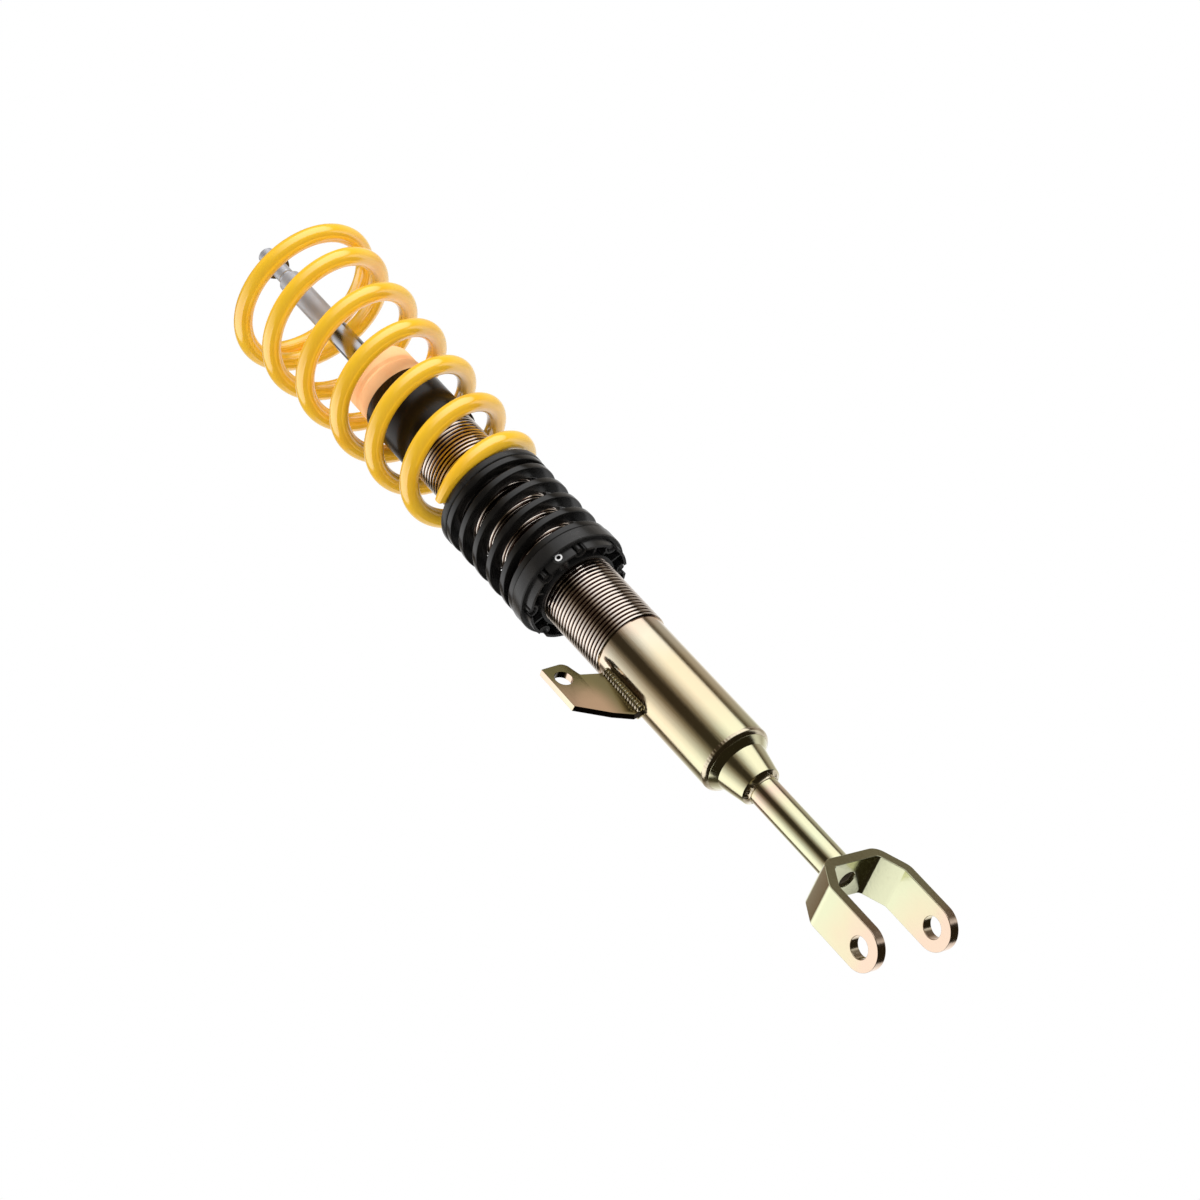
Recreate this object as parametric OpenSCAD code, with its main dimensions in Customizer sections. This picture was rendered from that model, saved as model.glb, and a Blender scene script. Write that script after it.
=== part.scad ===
// Threaded-body coilover strut with a helper spring and a fork foot.
// Origin: where the fork's bolt axis crosses the strut axis. +Z runs up the strut,
// +X along the bolt. Millimetres.

/* [Fork] */
// Width of the fork plate, front to back
fork_w = 30.5; // [26:0.5:40]
// Thickness of the fork plate
fork_t = 7; // [5:0.5:9]
// Width over the outside of both ears
fork_span = 69.7; // [62:0.1:80]
// Half width of the flat web, out to its corner
fork_web_half = 22.5; // [20:0.5:25]
// Height of the web's top face above the bolt axis
fork_h = 58; // [52:1:70]
// Drop from the web's top face to the shoulder's outer corner
fork_shoulder_drop = 20.4; // [14:0.2:24]
// Diameter of the bolt holes
fork_hole_d = 14.5; // [10:0.5:18]
// Inside radius of the plate's bends
fork_bend_r = 4; // [2:0.5:5]

/* [Foot] */
// Outside diameter of the stub tube
stub_od = 20.5; // [17:0.5:24]
// Bore of the stub tube and of the web under it
stub_bore = 12; // [8:0.5:14]
// Stub tube that shows between the web and the cone
stub_len = 78.8; // [60:0.2:110]
// Outside diameter at the cone's small end
cone_small_d = 28.4; // [26.5:0.1:30]
// Outside diameter at the cone's large end
cone_large_d = 36.4; // [31:0.2:40]
// Length of the cone
cone_h = 19.2; // [14:0.1:30]

/* [Strut tube] */
// Outside diameter of the smooth part of the tube
tube_od = 50; // [48:0.5:54]
// Wall of the smooth part of the tube
tube_wall = 2.5; // [2:0.1:3]
// Height that the thread stands proud of the smooth tube
thread_rise = 1.25; // [0.75:0.05:1.75]
// Length of the smooth part, from the tube's lower edge
smooth_len = 112; // [104:1:140]
// Length of the threaded part
thread_len = 227; // [215:1:250]
// Depth of the gland nut inside the tube
gland_depth = 8; // [6:0.5:12]

/* [Link bracket] */
// Direction in which the bracket leaves the tube
bracket_angle = 159; // [0:1:359]
// Angle by which its outer tab is bent
bracket_bend = 14; // [4:1:25]
// Thickness of the bracket plate
bracket_t = 5; // [4:0.5:8]
// Reach of the tab from the strut axis, before it is bent
bracket_reach = 61.5; // [58:0.5:70]
// Distance of the bend line from the strut axis
bracket_bend_r = 41; // [40:0.5:45]
// Height of the tab's outer edge
bracket_tab_h = 36; // [28:0.5:40]
// Distance from the bracket's foot down from the start of the thread
bracket_drop = 46.5; // [44:0.5:60]
// Height of the plate where it meets the tube
bracket_root_h = 39.5; // [30:0.5:44]
// Rise of the plate's lower edge from its root to the tab
bracket_rise = 22.5; // [18:0.5:32]
// Diameter of the link hole
link_hole_d = 12; // [8:0.5:13]

/* [Damper] */
// Diameter of the piston rod
rod_d = 16.6; // [14:0.2:20]
// Rod that shows above the tube, up to its shoulder
rod_out = 179.4; // [160:1:210]
// Diameter of the stud on the rod
stud_d = 11.8; // [10:0.2:12]
// Length of the stud above the shoulder
stud_len = 31.6; // [28:0.2:45]
// Height of the nut's lower face above the shoulder
nut_gap = 12.6; // [8:0.2:16]
// Width across the flats of the stud nut
nut_af = 16; // [15.5:0.5:19]
// Height of the stud nut
nut_h = 10; // [6:0.5:12]
// Outside diameter of the pressure tube
pressure_od = 39; // [36:0.5:42]
// Wall of the pressure tube
pressure_wall = 1.5; // [1:0.1:2]
// Height of the piston
piston_h = 18; // [14:0.5:24]

/* [Bump stop and boot] */
// Outside diameter of the dust boot
boot_od = 55.8; // [55.2:0.2:60]
// Height of the dust boot
boot_h = 48.5; // [40:0.5:60]
// Length of tube that the boot covers
boot_lap = 10; // [6:0.5:16]
// Diameter of the bump stop above the boot
stop_d = 51.6; // [46:0.2:52.4]
// Height of the bump stop above the boot
stop_out = 31; // [26:0.5:50]
// Depth of the bump stop's groove
stop_groove = 1.6; // [1:0.1:3]

/* [Perch] */
// Outside diameter of the perch
perch_od = 80.8; // [80:0.2:90]
// Height of the perch's seat above the start of the thread
perch_up = 75; // [60:1:110]
// Height of the perch's outer band
perch_band_h = 10.5; // [9:0.5:14]
// Full height of the perch
perch_h = 17.5; // [17:0.5:22]
// Number of spanner blocks round the perch
perch_blocks = 8; // [6:1:10]
// Diameter of the lock screw
lock_d = 5; // [4:0.5:6]
// Direction in which the lock screw points
lock_angle = 227; // [0:1:359]

/* [Helper spring] */
// Outside diameter of the helper spring
helper_od = 79.4; // [78:0.2:79.6]
// Radial width of the helper's flat wire
helper_wire_w = 9; // [7:0.5:9.5]
// Height of the helper's flat wire
helper_wire_h = 5; // [4:0.25:6]
// Free height of the helper spring
helper_free_h = 76.4; // [70:0.1:85]
// Curls of the helper spring
helper_curls = 5.84; // [5:0.01:6.2]
// Share of a curl that lies flat at each end
helper_dead = 0.64; // [0.55:0.005:0.65]
// Direction of the helper's lower end
helper_start = 60; // [0:5:355]
// Height of the coupler between the springs
coupler_h = 6.1; // [5:0.1:10]
// Outside diameter of the coupler
coupler_od = 80; // [78:0.2:84]

/* [Main spring] */
// Diameter of the spring wire
wire_d = 12.9; // [11:0.1:13.4]
// Mean diameter of the lowest curl
spring_low_d = 76; // [74:0.1:80]
// Mean diameter of the top curl
spring_top_d = 104.6; // [95:0.2:115]
// Share by which the lower curls widen faster than the upper ones
spring_flare = 1.26; // [1:0.01:1.4]
// Curls of the spring
spring_curls = 6.765; // [6:0.005:7.5]
// Rise of each free curl
spring_pitch = 39.06; // [34:0.02:44]
// Rise of the first curl, where it lies on its seat
spring_low_pitch = 17; // [15.5:0.1:22]
// Rise of the last curl
spring_end_pitch = 13.02; // [12:0.02:39]
// Height of the wire's centre over its seat at the lower tip
spring_tip_rise = 1.9; // [0:0.1:3]
// Direction of the spring's lower tip
spring_start = 180; // [0:45:315]

/* [Hidden] */

// Colours
gold = [0.87, 0.83, 0.68];
weld_gold = [0.80, 0.76, 0.60];
chrome = [0.68, 0.68, 0.70];
dark_steel = [0.30, 0.29, 0.28];
satin_black = [0.10, 0.10, 0.11];
boot_black = [0.13, 0.12, 0.13];
salmon = [0.98, 0.71, 0.51];
spring_yellow = [0.94, 0.69, 0.12];

// Faces round a turned piece
$fn = 96;
// Gap of a push fit and of a running fit, on the radius
push_gap = 0.02;
run_gap = 0.05;
// Gap between pieces that rest on or pass each other
rest_gap = 0.3;
// Gap between a spring's end and its seat
seat_gap = 0.02;

// Heights up the strut
stub_r = stub_od / 2;
cone_z = fork_h + stub_len;
disc_z = cone_z + cone_h;
disc_stand = 5;
disc_t = 13.9;
tube_z = disc_z + disc_stand;
thread_z = tube_z + smooth_len;
tube_top = thread_z + thread_len;
tube_r = tube_od / 2;
bore_r = tube_r - tube_wall;
crest_r = tube_r + thread_rise;
bevel = tube_wall;

// Link bracket
bracket_neck = tube_r + 6;
bracket_foot = thread_z - bracket_drop;
bracket_root = bracket_foot + bracket_root_h;
bracket_low = bracket_foot + bracket_rise;
bracket_high = bracket_low + bracket_tab_h;
tab_len = bracket_reach - bracket_bend_r;
link_hole_in = 9.1;
link_hole_down = 12;

// Damper inside the tube
pressure_r = pressure_od / 2;
pressure_bore_r = pressure_r - pressure_wall;
valve_z = disc_z + disc_t;
valve_flange = 3;
valve_h = 13;
gland_z = tube_top - gland_depth;
gland_lip = 2;
seal_h = 6;
seal_z = gland_z - seal_h;
guide_h = 18;
guide_z = seal_z - guide_h;
guide_spigot = 6;
bush_wall = 1.3;
gland_gap = 0.4;
rod_r = rod_d / 2;
stud_r = stud_d / 2;
shoulder_z = tube_top + rod_out;
rebound_h = 14;
rebound_z = guide_z - guide_spigot - rest_gap - rebound_h;
rod_stem_r = 6;
piston_drop = 14;
rod_step_z = rebound_z - piston_drop;
shim_h = 2;
piston_z = rod_step_z - shim_h - piston_h;
piston_nut_h = 9;
piston_nut_af = 19;
band_depth = 1.2;
band_gap = 0.2;

// Bump stop and boot
boot_r = boot_od / 2;
boot_inner_r = crest_r + rest_gap;
boot_z = tube_top - boot_lap;
boot_top = boot_z + boot_h;
boot_lip_h = 4;
stop_r = stop_d / 2;
stop_z = tube_top + gland_lip + rest_gap;
stop_top = boot_top + stop_out;
stop_neck_r = stop_r - 1;
groove_up = 13.5;
groove_half = 2;

// Perch, springs and coupler
perch_z = thread_z + perch_up;
perch_foot = perch_z - perch_h;
perch_r = perch_od / 2;
perch_plate = 4;
perch_wall_t = 1.9;
collar_t = 1.3;
collar_h = 5;
collar_r = crest_r + rest_gap;
lock_z = perch_z - perch_band_h - 2.2;
helper_r = helper_od / 2 - helper_wire_w / 2;
coupler_z = perch_z + helper_free_h;
coupler_r = coupler_od / 2;
spring_seat = coupler_z + coupler_h;
curl_rings = 8;

// ---- Shared shapes ----

// Sum of a list of numbers
function sum(list) = list * [for (item = list) 1];

// Unit vector along v
function unit(v) = v / norm(v);

// Points of a rounding of radius r at corner p, between neighbours a and b
function round_corner(a, p, b, r, n = 8) =
    let (
        u = unit(a - p),
        v = unit(b - p),
        half = acos(u * v) / 2,
        c = p + unit(u + v) * r / sin(half),
        s = p + u * r / tan(half) - c,
        e = p + v * r / tan(half) - c,
        a0 = atan2(s.y, s.x),
        turn = (atan2(e.y, e.x) - a0 + 540) % 360 - 180
    )
    [for (i = [0:n]) c + r * [cos(a0 + turn * i / n), sin(a0 + turn * i / n)]];

// A path whose inner corners are all rounded to radius r
function rounded_path(path, r) = concat(
    [path[0]],
    [for (i = [1:len(path) - 2]) each round_corner(path[i - 1], path[i], path[i + 1], r)],
    [path[len(path) - 1]]
);

// Corner i of a path, moved by t to the path's left
function left_corner(path, i, t) =
    let (
        d1 = unit(path[i] - path[i - 1]),
        d2 = unit(path[i + 1] - path[i]),
        n1 = [-d1.y, d1.x],
        n2 = [-d2.y, d2.x]
    )
    path[i] + (n1 + n2) * t / (1 + n1 * n2);

// Ring turned from a list of [radius, height] corners
module turned(corners) {
    rotate_extrude() polygon(corners);
}

// Plain ring between two radii
module ring(r_in, r_out, z, h) {
    turned([[r_in, z], [r_out, z], [r_out, z + h], [r_in, z + h]]);
}

// Ring with both outer corners bevelled by b
module bevelled_ring(r_in, r_out, z, h, b) {
    turned([
        [r_in, z], [r_out - b, z], [r_out, z + b],
        [r_out, z + h - b], [r_out - b, z + h], [r_in, z + h]
    ]);
}

// Area under a smooth step that rises from a over width w, summed up to t
function step_area(t, a, w) =
    let (x = min(max((t - a) / w, 0), 1))
    w * (pow(x, 3) - pow(x, 4) / 2) + max(t - a - w, 0);

// The same area, counted from t = 0
function step_rise(t, a, w) = step_area(t, a, w) - step_area(0, a, w);

// Curl counts at which a spring's rings stand, ending exactly at its tip
function ring_turns(curls) =
    [for (i = [0:ceil(curls * curl_rings)]) min(i / curl_rings, curls)];

// Point at radius r, height z, turned by t curls from a start angle
function coil_point(start, t, r, z) =
    [r * cos(start + 360 * t), r * sin(start + 360 * t), z];

// Skin of a tube: n rings of six points, closed by a fan at each end
module tube_skin(rings) {
    n = len(rings);
    sides = 6;
    function mid(ring) = [for (k = [0:2]) sum([for (p = ring) p[k]]) / sides];
    points = concat([for (ring = rings) each ring], [mid(rings[0]), mid(rings[n - 1])]);
    foot = n * sides;
    faces = concat(
        [for (i = [0:n - 2], k = [0:sides - 1])
            each let (
                a = i * sides + k,
                b = i * sides + (k + 1) % sides
            )
            [[a, b, b + sides], [a, b + sides, a + sides]]],
        [for (k = [0:sides - 1]) [foot, (k + 1) % sides, k]],
        [for (k = [0:sides - 1])
            [foot + 1, (n - 1) * sides + k, (n - 1) * sides + (k + 1) % sides]]
    );
    polyhedron(points, faces, convexity = 10);
}

// Least distance between centre points that lie over half a curl apart
function least_gap(centres, size) = min([
    for (i = [0:len(centres) - 1], j = [i + curl_rings / 2 + 1:1:len(centres) - 1])
        norm(centres[i] - centres[j])
]) - size;

// ---- Foot: fork, stub tube and cone ----

// Bent strip of the fork, seen along the plate's width
module fork_profile() {
    s = fork_span / 2;
    foot = -fork_w / 2 - 1;
    outer = [
        [s, foot], [s, fork_h - fork_shoulder_drop], [fork_web_half, fork_h],
        [-fork_web_half, fork_h], [-s, fork_h - fork_shoulder_drop], [-s, foot]
    ];
    inner = concat(
        [[s - fork_t, foot]],
        [for (i = [1:4]) left_corner(outer, i, fork_t)],
        [[-s + fork_t, foot]]
    );
    inside = rounded_path(inner, fork_bend_r);
    polygon(concat(
        rounded_path(outer, fork_bend_r + fork_t),
        [for (i = [len(inside) - 1:-1:0]) inside[i]]
    ));
}

// Side outline of the fork, round below the bolt axis
module fork_side() {
    circle(d = fork_w);
    translate([-fork_w / 2, 0]) square([fork_w, fork_h + 1]);
}

module fork() {
    color(gold)
    difference() {
        intersection() {
            rotate([90, 0, 0])
                linear_extrude(fork_w + 2, center = true) fork_profile();
            rotate([90, 0, 90])
                linear_extrude(fork_span + 2, center = true) fork_side();
        }
        rotate([0, 90, 0]) cylinder(d = fork_hole_d, h = fork_span + 2, center = true);
        translate([0, 0, fork_h - fork_t - 1]) cylinder(d = stub_bore, h = fork_t + 2);
    }
}

module stub_tube() {
    color(gold) ring(stub_bore / 2, stub_r, fork_h, stub_len + cone_h);
}

// Fillet weld of the stub tube on the web
module stub_weld() {
    leg = 3;
    color(weld_gold)
        turned([
            [stub_r, fork_h], [stub_r + leg, fork_h],
            [stub_r + leg * 0.55, fork_h + leg * 0.55], [stub_r, fork_h + leg]
        ]);
}

// Turned adapter between the stub tube and the end disc
module cone_adapter() {
    bevel_r = 0.3;
    color(gold)
        turned([
            [stub_r + push_gap, cone_z], [cone_small_d / 2 - bevel_r, cone_z],
            [cone_small_d / 2, cone_z + bevel_r], [cone_large_d / 2, disc_z],
            [stub_r + push_gap, disc_z]
        ]);
}

// Weld bead where the stub tube leaves the cone
module cone_weld() {
    leg = 3.6;
    color(weld_gold)
        turned([
            [stub_r, cone_z], [stub_r + leg, cone_z],
            [stub_r + leg * 0.6, cone_z - leg * 0.6], [stub_r, cone_z - leg]
        ]);
}

// ---- Strut tube ----

// Disc that closes the tube, bevelled down to the cone's large end
module end_disc() {
    disc_r = bore_r - push_gap;
    cone_r = cone_large_d / 2;
    color(gold)
        turned([
            [0, disc_z], [cone_r, disc_z], [disc_r, disc_z + disc_r - cone_r],
            [disc_r, disc_z + disc_t - 0.4], [disc_r - 0.4, disc_z + disc_t],
            [0, disc_z + disc_t]
        ]);
}

// Weld that fills the groove between the end disc and the tube's bevelled edge
module tube_weld() {
    proud = 0.15;
    color(weld_gold)
        turned([
            [bore_r, tube_z - 0.7], [tube_r - 0.9, tube_z + 0.5],
            [tube_r + proud, tube_z + 1.8], [tube_r + proud, tube_z + bevel + 0.6],
            [tube_r, tube_z + bevel + 1], [bore_r, tube_z + 1]
        ]);
}

module strut_tube() {
    edge = 0.8;
    color(gold)
        turned([
            [bore_r, tube_z + 1], [tube_r, tube_z + bevel + 1], [tube_r, thread_z],
            [crest_r, thread_z + thread_rise], [crest_r, tube_top - edge],
            [crest_r - edge, tube_top], [bore_r, tube_top]
        ]);
}

// ---- Link bracket ----

// Distance along the unbent plate, seen square to the part next to the tube
function bracket_x(r) =
    r <= bracket_bend_r ? r : bracket_bend_r + (r - bracket_bend_r) * cos(bracket_bend);

// Side outline of the bracket, past the tab's end, which the bent strip cuts
module bracket_side() {
    over = bracket_reach + 2 * bracket_t;
    slope = 0.7;
    bend_low = bracket_low - slope * (bracket_reach - bracket_bend_r);
    round_r = 6;
    round_x = bracket_reach - 13;
    polygon([
        [tube_r - 2, bracket_foot], [bracket_neck, bracket_foot],
        [bracket_bend_r, bend_low],
        [bracket_x(over), bracket_low + slope * (over - bracket_reach)],
        [bracket_x(over), bracket_high],
        for (a = [0:14:70])
            [bracket_x(round_x) - round_r * sin(a), bracket_high - round_r * (1 - cos(a))],
        [bracket_bend_r - 1, bracket_root + 6], [bracket_neck - 2, bracket_root],
        [tube_r - 2, bracket_root]
    ]);
}

// Bent strip of the bracket from above; its inner part's near face holds the strut axis
module bracket_strip() {
    c = cos(bracket_bend);
    s = sin(bracket_bend);
    tip = [bracket_bend_r + tab_len * c, tab_len * s];
    polygon([
        [tube_r - 2, 0], [bracket_bend_r, 0], tip, tip + bracket_t * [s, -c],
        [bracket_bend_r + bracket_t * tan(bracket_bend / 2), -bracket_t],
        [tube_r - 2, -bracket_t]
    ]);
}

module link_bracket() {
    deep = 4 * bracket_t;
    color(gold)
    rotate([0, 0, bracket_angle])
    difference() {
        intersection() {
            translate([0, 0, bracket_foot - 1])
                linear_extrude(bracket_high - bracket_foot + 2) bracket_strip();
            rotate([90, 0, 0])
                linear_extrude(deep, center = true) bracket_side();
        }
        translate([0, 0, bracket_foot - 1])
            cylinder(r = tube_r + push_gap, h = bracket_root_h + 2);
        translate([bracket_bend_r, 0, bracket_high - link_hole_down])
            rotate([90, 0, bracket_bend])
            translate([tab_len - link_hole_in, 0, 0])
            cylinder(d = link_hole_d, h = deep, center = true);
    }
}

// One weld bead, stacked from short ripples along the plate's root
module weld_bead(side_y) {
    ripple = 2.6;
    bead_r = 5;
    dip = 0.45;
    count = floor(bracket_root_h / ripple);
    translate([tube_r + 1.2, side_y, bracket_foot + 0.4])
        turned(concat(
            [[0, 0]],
            [for (i = [0:count - 1]) each [
                [bead_r - dip, i * ripple], [bead_r, (i + 0.35) * ripple],
                [bead_r, (i + 0.65) * ripple]
            ]],
            [[bead_r - dip, count * ripple], [0, count * ripple]]
        ));
}

// Rippled weld beads on both faces of the bracket's root
module bracket_weld() {
    tall = bracket_root_h + 4;
    color(weld_gold)
    rotate([0, 0, bracket_angle])
    difference() {
        union() {
            weld_bead(1);
            weld_bead(-bracket_t - 1);
        }
        translate([0, 0, bracket_foot - 2]) cylinder(r = tube_r, h = tall);
        translate([0, -bracket_t, bracket_foot - 2]) cube([bracket_reach, bracket_t, tall]);
    }
}

// ---- Damper internals ----

module pressure_tube() {
    color(dark_steel)
        ring(pressure_bore_r, pressure_r, valve_z + valve_flange, guide_z - valve_z - valve_flange);
}

// Foot valve that closes the pressure tube
module base_valve() {
    port_r = 2.5;
    color(dark_steel)
        turned([
            [port_r, valve_z], [pressure_r, valve_z], [pressure_r, valve_z + valve_flange],
            [pressure_bore_r - push_gap, valve_z + valve_flange],
            [pressure_bore_r - push_gap, valve_z + valve_h], [port_r, valve_z + valve_h]
        ]);
}

module rod_guide() {
    bush_r = rod_r + run_gap + bush_wall;
    color(dark_steel)
        turned([
            [bush_r, guide_z - guide_spigot], [pressure_bore_r - push_gap, guide_z - guide_spigot],
            [pressure_bore_r - push_gap, guide_z], [bore_r - push_gap, guide_z],
            [bore_r - push_gap, seal_z], [bush_r, seal_z]
        ]);
}

module guide_bush() {
    inner_r = rod_r + run_gap;
    color("peru")
        ring(inner_r, inner_r + bush_wall - push_gap, guide_z - guide_spigot,
            guide_h + guide_spigot);
}

module rod_seal() {
    color(satin_black) ring(rod_r + run_gap, bore_r - push_gap, seal_z, seal_h);
}

// Gland nut with a lip over the tube's end and four spanner holes
module gland_nut() {
    pin_r = 2;
    lip_r = crest_r - 0.8;
    color(dark_steel)
    difference() {
        turned([
            [rod_r + gland_gap, gland_z], [bore_r - push_gap, gland_z],
            [bore_r - push_gap, tube_top], [lip_r, tube_top], [lip_r, tube_top + gland_lip],
            [rod_r + gland_gap, tube_top + gland_lip]
        ]);
        for (i = [0:3])
            rotate([0, 0, 90 * i])
                translate([(rod_r + bore_r) / 2, 0, tube_top - 3])
                cylinder(r = pin_r, h = gland_lip + 4, $fn = 32);
    }
}

// ---- Rod and piston ----

module piston_rod() {
    edge = 1.2;
    color(chrome)
        turned([
            [0, piston_z - piston_nut_h - 3], [rod_stem_r, piston_z - piston_nut_h - 3],
            [rod_stem_r, rod_step_z], [rod_r, rod_step_z], [rod_r, shoulder_z - edge],
            [rod_r - edge, shoulder_z], [stud_r, shoulder_z], [stud_r, shoulder_z + stud_len - edge],
            [stud_r - edge, shoulder_z + stud_len], [0, shoulder_z + stud_len]
        ]);
}

// Six-sided nut with bevelled corners
module hex_nut(af, h, hole_r, z) {
    corner_r = af / sqrt(3);
    translate([0, 0, z])
    difference() {
        intersection() {
            cylinder(r = corner_r, h = h, $fn = 6);
            turned([
                [0, 0], [af / 2, 0], [corner_r + 0.1, corner_r - af / 2],
                [corner_r + 0.1, h - corner_r + af / 2], [af / 2, h], [0, h]
            ]);
        }
        translate([0, 0, -1]) cylinder(r = hole_r, h = h + 2);
    }
}

module stud_nut() {
    color(chrome) hex_nut(nut_af, nut_h, stud_r + push_gap, shoulder_z + nut_gap);
}

module rebound_stop() {
    color(dark_steel)
        bevelled_ring(rod_r + push_gap, pressure_bore_r - 3, rebound_z, rebound_h, 1);
}

// Piston with a groove for its band
module piston() {
    r = pressure_bore_r - run_gap - band_gap;
    groove = piston_h / 4;
    color(dark_steel)
        turned([
            [rod_stem_r + push_gap, piston_z], [r, piston_z], [r, piston_z + groove],
            [r - band_depth, piston_z + groove], [r - band_depth, piston_z + piston_h - groove],
            [r, piston_z + piston_h - groove], [r, piston_z + piston_h],
            [rod_stem_r + push_gap, piston_z + piston_h]
        ]);
}

module piston_band() {
    r = pressure_bore_r - run_gap;
    color("saddlebrown")
        ring(r - band_gap - band_depth + push_gap, r, piston_z + piston_h / 4 + push_gap,
            piston_h / 2 - 2 * push_gap);
}

// Stack of thin discs on the piston's upper face
module valve_shims() {
    discs = 4;
    disc_step = 1.5;
    t = shim_h / discs;
    color(chrome)
        for (i = [0:discs - 1])
            ring(rod_stem_r + push_gap, pressure_bore_r - 3 - disc_step * i,
                piston_z + piston_h + i * t, t);
}

module piston_nut() {
    color(dark_steel)
        hex_nut(piston_nut_af, piston_nut_h, rod_stem_r + push_gap, piston_z - piston_nut_h);
}

// ---- Bump stop and dust boot ----

// Foam stop with one groove and a rounded top
module bump_stop() {
    hole_r = rod_r + rest_gap;
    groove_z = boot_top + groove_up;
    round_r = 6;
    color(salmon)
        turned(concat(
            [
                [hole_r, stop_z], [stop_neck_r - 1, stop_z], [stop_neck_r - 1, boot_top - boot_lip_h],
                [stop_neck_r - 1, boot_top], [stop_r, boot_top + 0.4],
                [stop_r, groove_z - groove_half], [stop_r - stop_groove, groove_z],
                [stop_r - 0.5, groove_z + groove_half]
            ],
            [for (a = [0:15:90])
                [stop_r - 0.5 - round_r + round_r * cos(a), stop_top - round_r + round_r * sin(a)]],
            [[hole_r, stop_top]]
        ));
}

// Sleeve over the tube's end, gripping the stop with its top lip
module dust_boot() {
    edge = 0.8;
    grip_r = stop_neck_r - 1 + push_gap;
    color(boot_black)
        turned([
            [boot_inner_r, boot_z], [boot_r - edge, boot_z], [boot_r, boot_z + edge],
            [boot_r, boot_top - edge], [boot_r - edge, boot_top], [grip_r, boot_top],
            [grip_r, boot_top - boot_lip_h], [boot_inner_r, boot_top - boot_lip_h - 1]
        ]);
}

// ---- Perch ----

// Wedge that spans a given angle about +X, for cutting notches
module wedge(angle, r, z, h) {
    translate([0, 0, z])
        linear_extrude(h)
        polygon([[0, 0], [r, -r * tan(angle / 2)], [r, r * tan(angle / 2)]]);
}

// Threaded spring perch: plate, outer band, hub, ribs, spanner blocks and screw boss
module perch_ring() {
    hub_in = crest_r + run_gap;
    hub_out = crest_r + 2.2;
    band_in = perch_r - 2.9;
    wall_out = band_in + 0.1;
    wall_in = wall_out - perch_wall_t;
    pitch = 360 / perch_blocks;
    notch = 13;
    boss_r = 1.9;
    bay_r = 4.8;
    bay_t = 1.3;
    bay_x = wall_in - 0.3;
    rib_t = 1.3;
    lock_r = lock_d / 2;
    color(satin_black)
    difference() {
        union() {
            // plate, band and centring collar
            turned([
                [hub_in, perch_z - perch_plate], [band_in, perch_z - perch_plate],
                [band_in, perch_z - perch_band_h], [perch_r - 0.6, perch_z - perch_band_h],
                [perch_r, perch_z - perch_band_h + 0.8], [perch_r, perch_z - 0.8],
                [perch_r - 0.8, perch_z], [collar_r + collar_t, perch_z],
                [collar_r + collar_t, perch_z + collar_h], [collar_r, perch_z + collar_h],
                [collar_r, perch_z], [hub_in, perch_z - rest_gap]
            ]);
            // hub on the thread
            ring(hub_in, hub_out, perch_foot + 0.8, perch_h - perch_plate - 0.8);
            // spanner wall, cut into blocks
            difference() {
                ring(wall_in, wall_out, perch_foot, perch_h - perch_plate);
                for (i = [0:perch_blocks - 1])
                    rotate([0, 0, lock_angle + pitch * (i + 0.5)])
                        wedge(notch, perch_r, perch_foot, perch_h - perch_plate - 3);
            }
            for (i = [0:perch_blocks - 1])
                rotate([0, 0, lock_angle + pitch * (i + 0.5)]) {
                    // curved wall round the inside of each notch
                    translate([bay_x, 0, perch_foot + 1.5])
                        difference() {
                            cylinder(r = bay_r, h = perch_h - perch_plate - 1.5, $fn = 48);
                            translate([0, 0, -1])
                                cylinder(r = bay_r - bay_t, h = perch_h, $fn = 48);
                            translate([1, -perch_r, -1]) cube([perch_r, 2 * perch_r, perch_h]);
                        }
                    // round boss in the notch
                    translate([bay_x, 0, perch_foot + 2.5])
                        cylinder(r = boss_r, h = perch_h - perch_plate - 2.5, $fn = 32);
                    // short rib from the curved wall to the hub
                    translate([hub_out - 0.5, -rib_t / 2, perch_foot + 3])
                        cube([bay_x - bay_r - hub_out + 1, rib_t, perch_h - perch_plate - 3]);
                }
            // ribs between hub and blocks
            for (i = [0:perch_blocks - 1])
                rotate([0, 0, lock_angle + pitch * i])
                    translate([hub_out - 0.5, -rib_t / 2, perch_foot + 2])
                    cube([wall_in - hub_out + 1, rib_t, perch_h - perch_plate - 2]);
            // boss of the lock screw
            rotate([0, 0, lock_angle])
                translate([hub_out - 1, 0, lock_z])
                rotate([0, 90, 0])
                cylinder(r = lock_r + 1.7, h = perch_r - 1.6 - hub_out, $fn = 48);
        }
        // threaded hole of the lock screw
        rotate([0, 0, lock_angle])
            translate([hub_in - 1, 0, lock_z])
            rotate([0, 90, 0]) cylinder(r = lock_r, h = perch_r, $fn = 48);
    }
}

// Grub screw with a six-sided socket
module lock_screw() {
    socket_af = lock_d / 2;
    start = crest_r + rest_gap;
    len = perch_r - 2.2 - start;
    color(chrome)
    rotate([0, 0, lock_angle])
    translate([start, 0, lock_z])
    rotate([0, 90, 0])
    difference() {
        cylinder(r = lock_d / 2 - run_gap, h = len, $fn = 48);
        translate([0, 0, len - lock_d * 0.6])
            cylinder(r = socket_af / sqrt(3), h = lock_d, $fn = 6);
    }
}

// ---- Springs ----

// Height of the helper wire's centre after t curls
function helper_z(t) =
    let (
        ramp = 0.5,
        rise = helper_free_h - helper_wire_h - 2 * seat_gap,
        pitch = rise / (helper_curls - 2 * helper_dead)
    )
    perch_z + seat_gap + helper_wire_h / 2
    + pitch * (step_rise(t, helper_dead - ramp / 2, ramp)
    - step_rise(t, helper_curls - helper_dead - ramp / 2, ramp));

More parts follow.
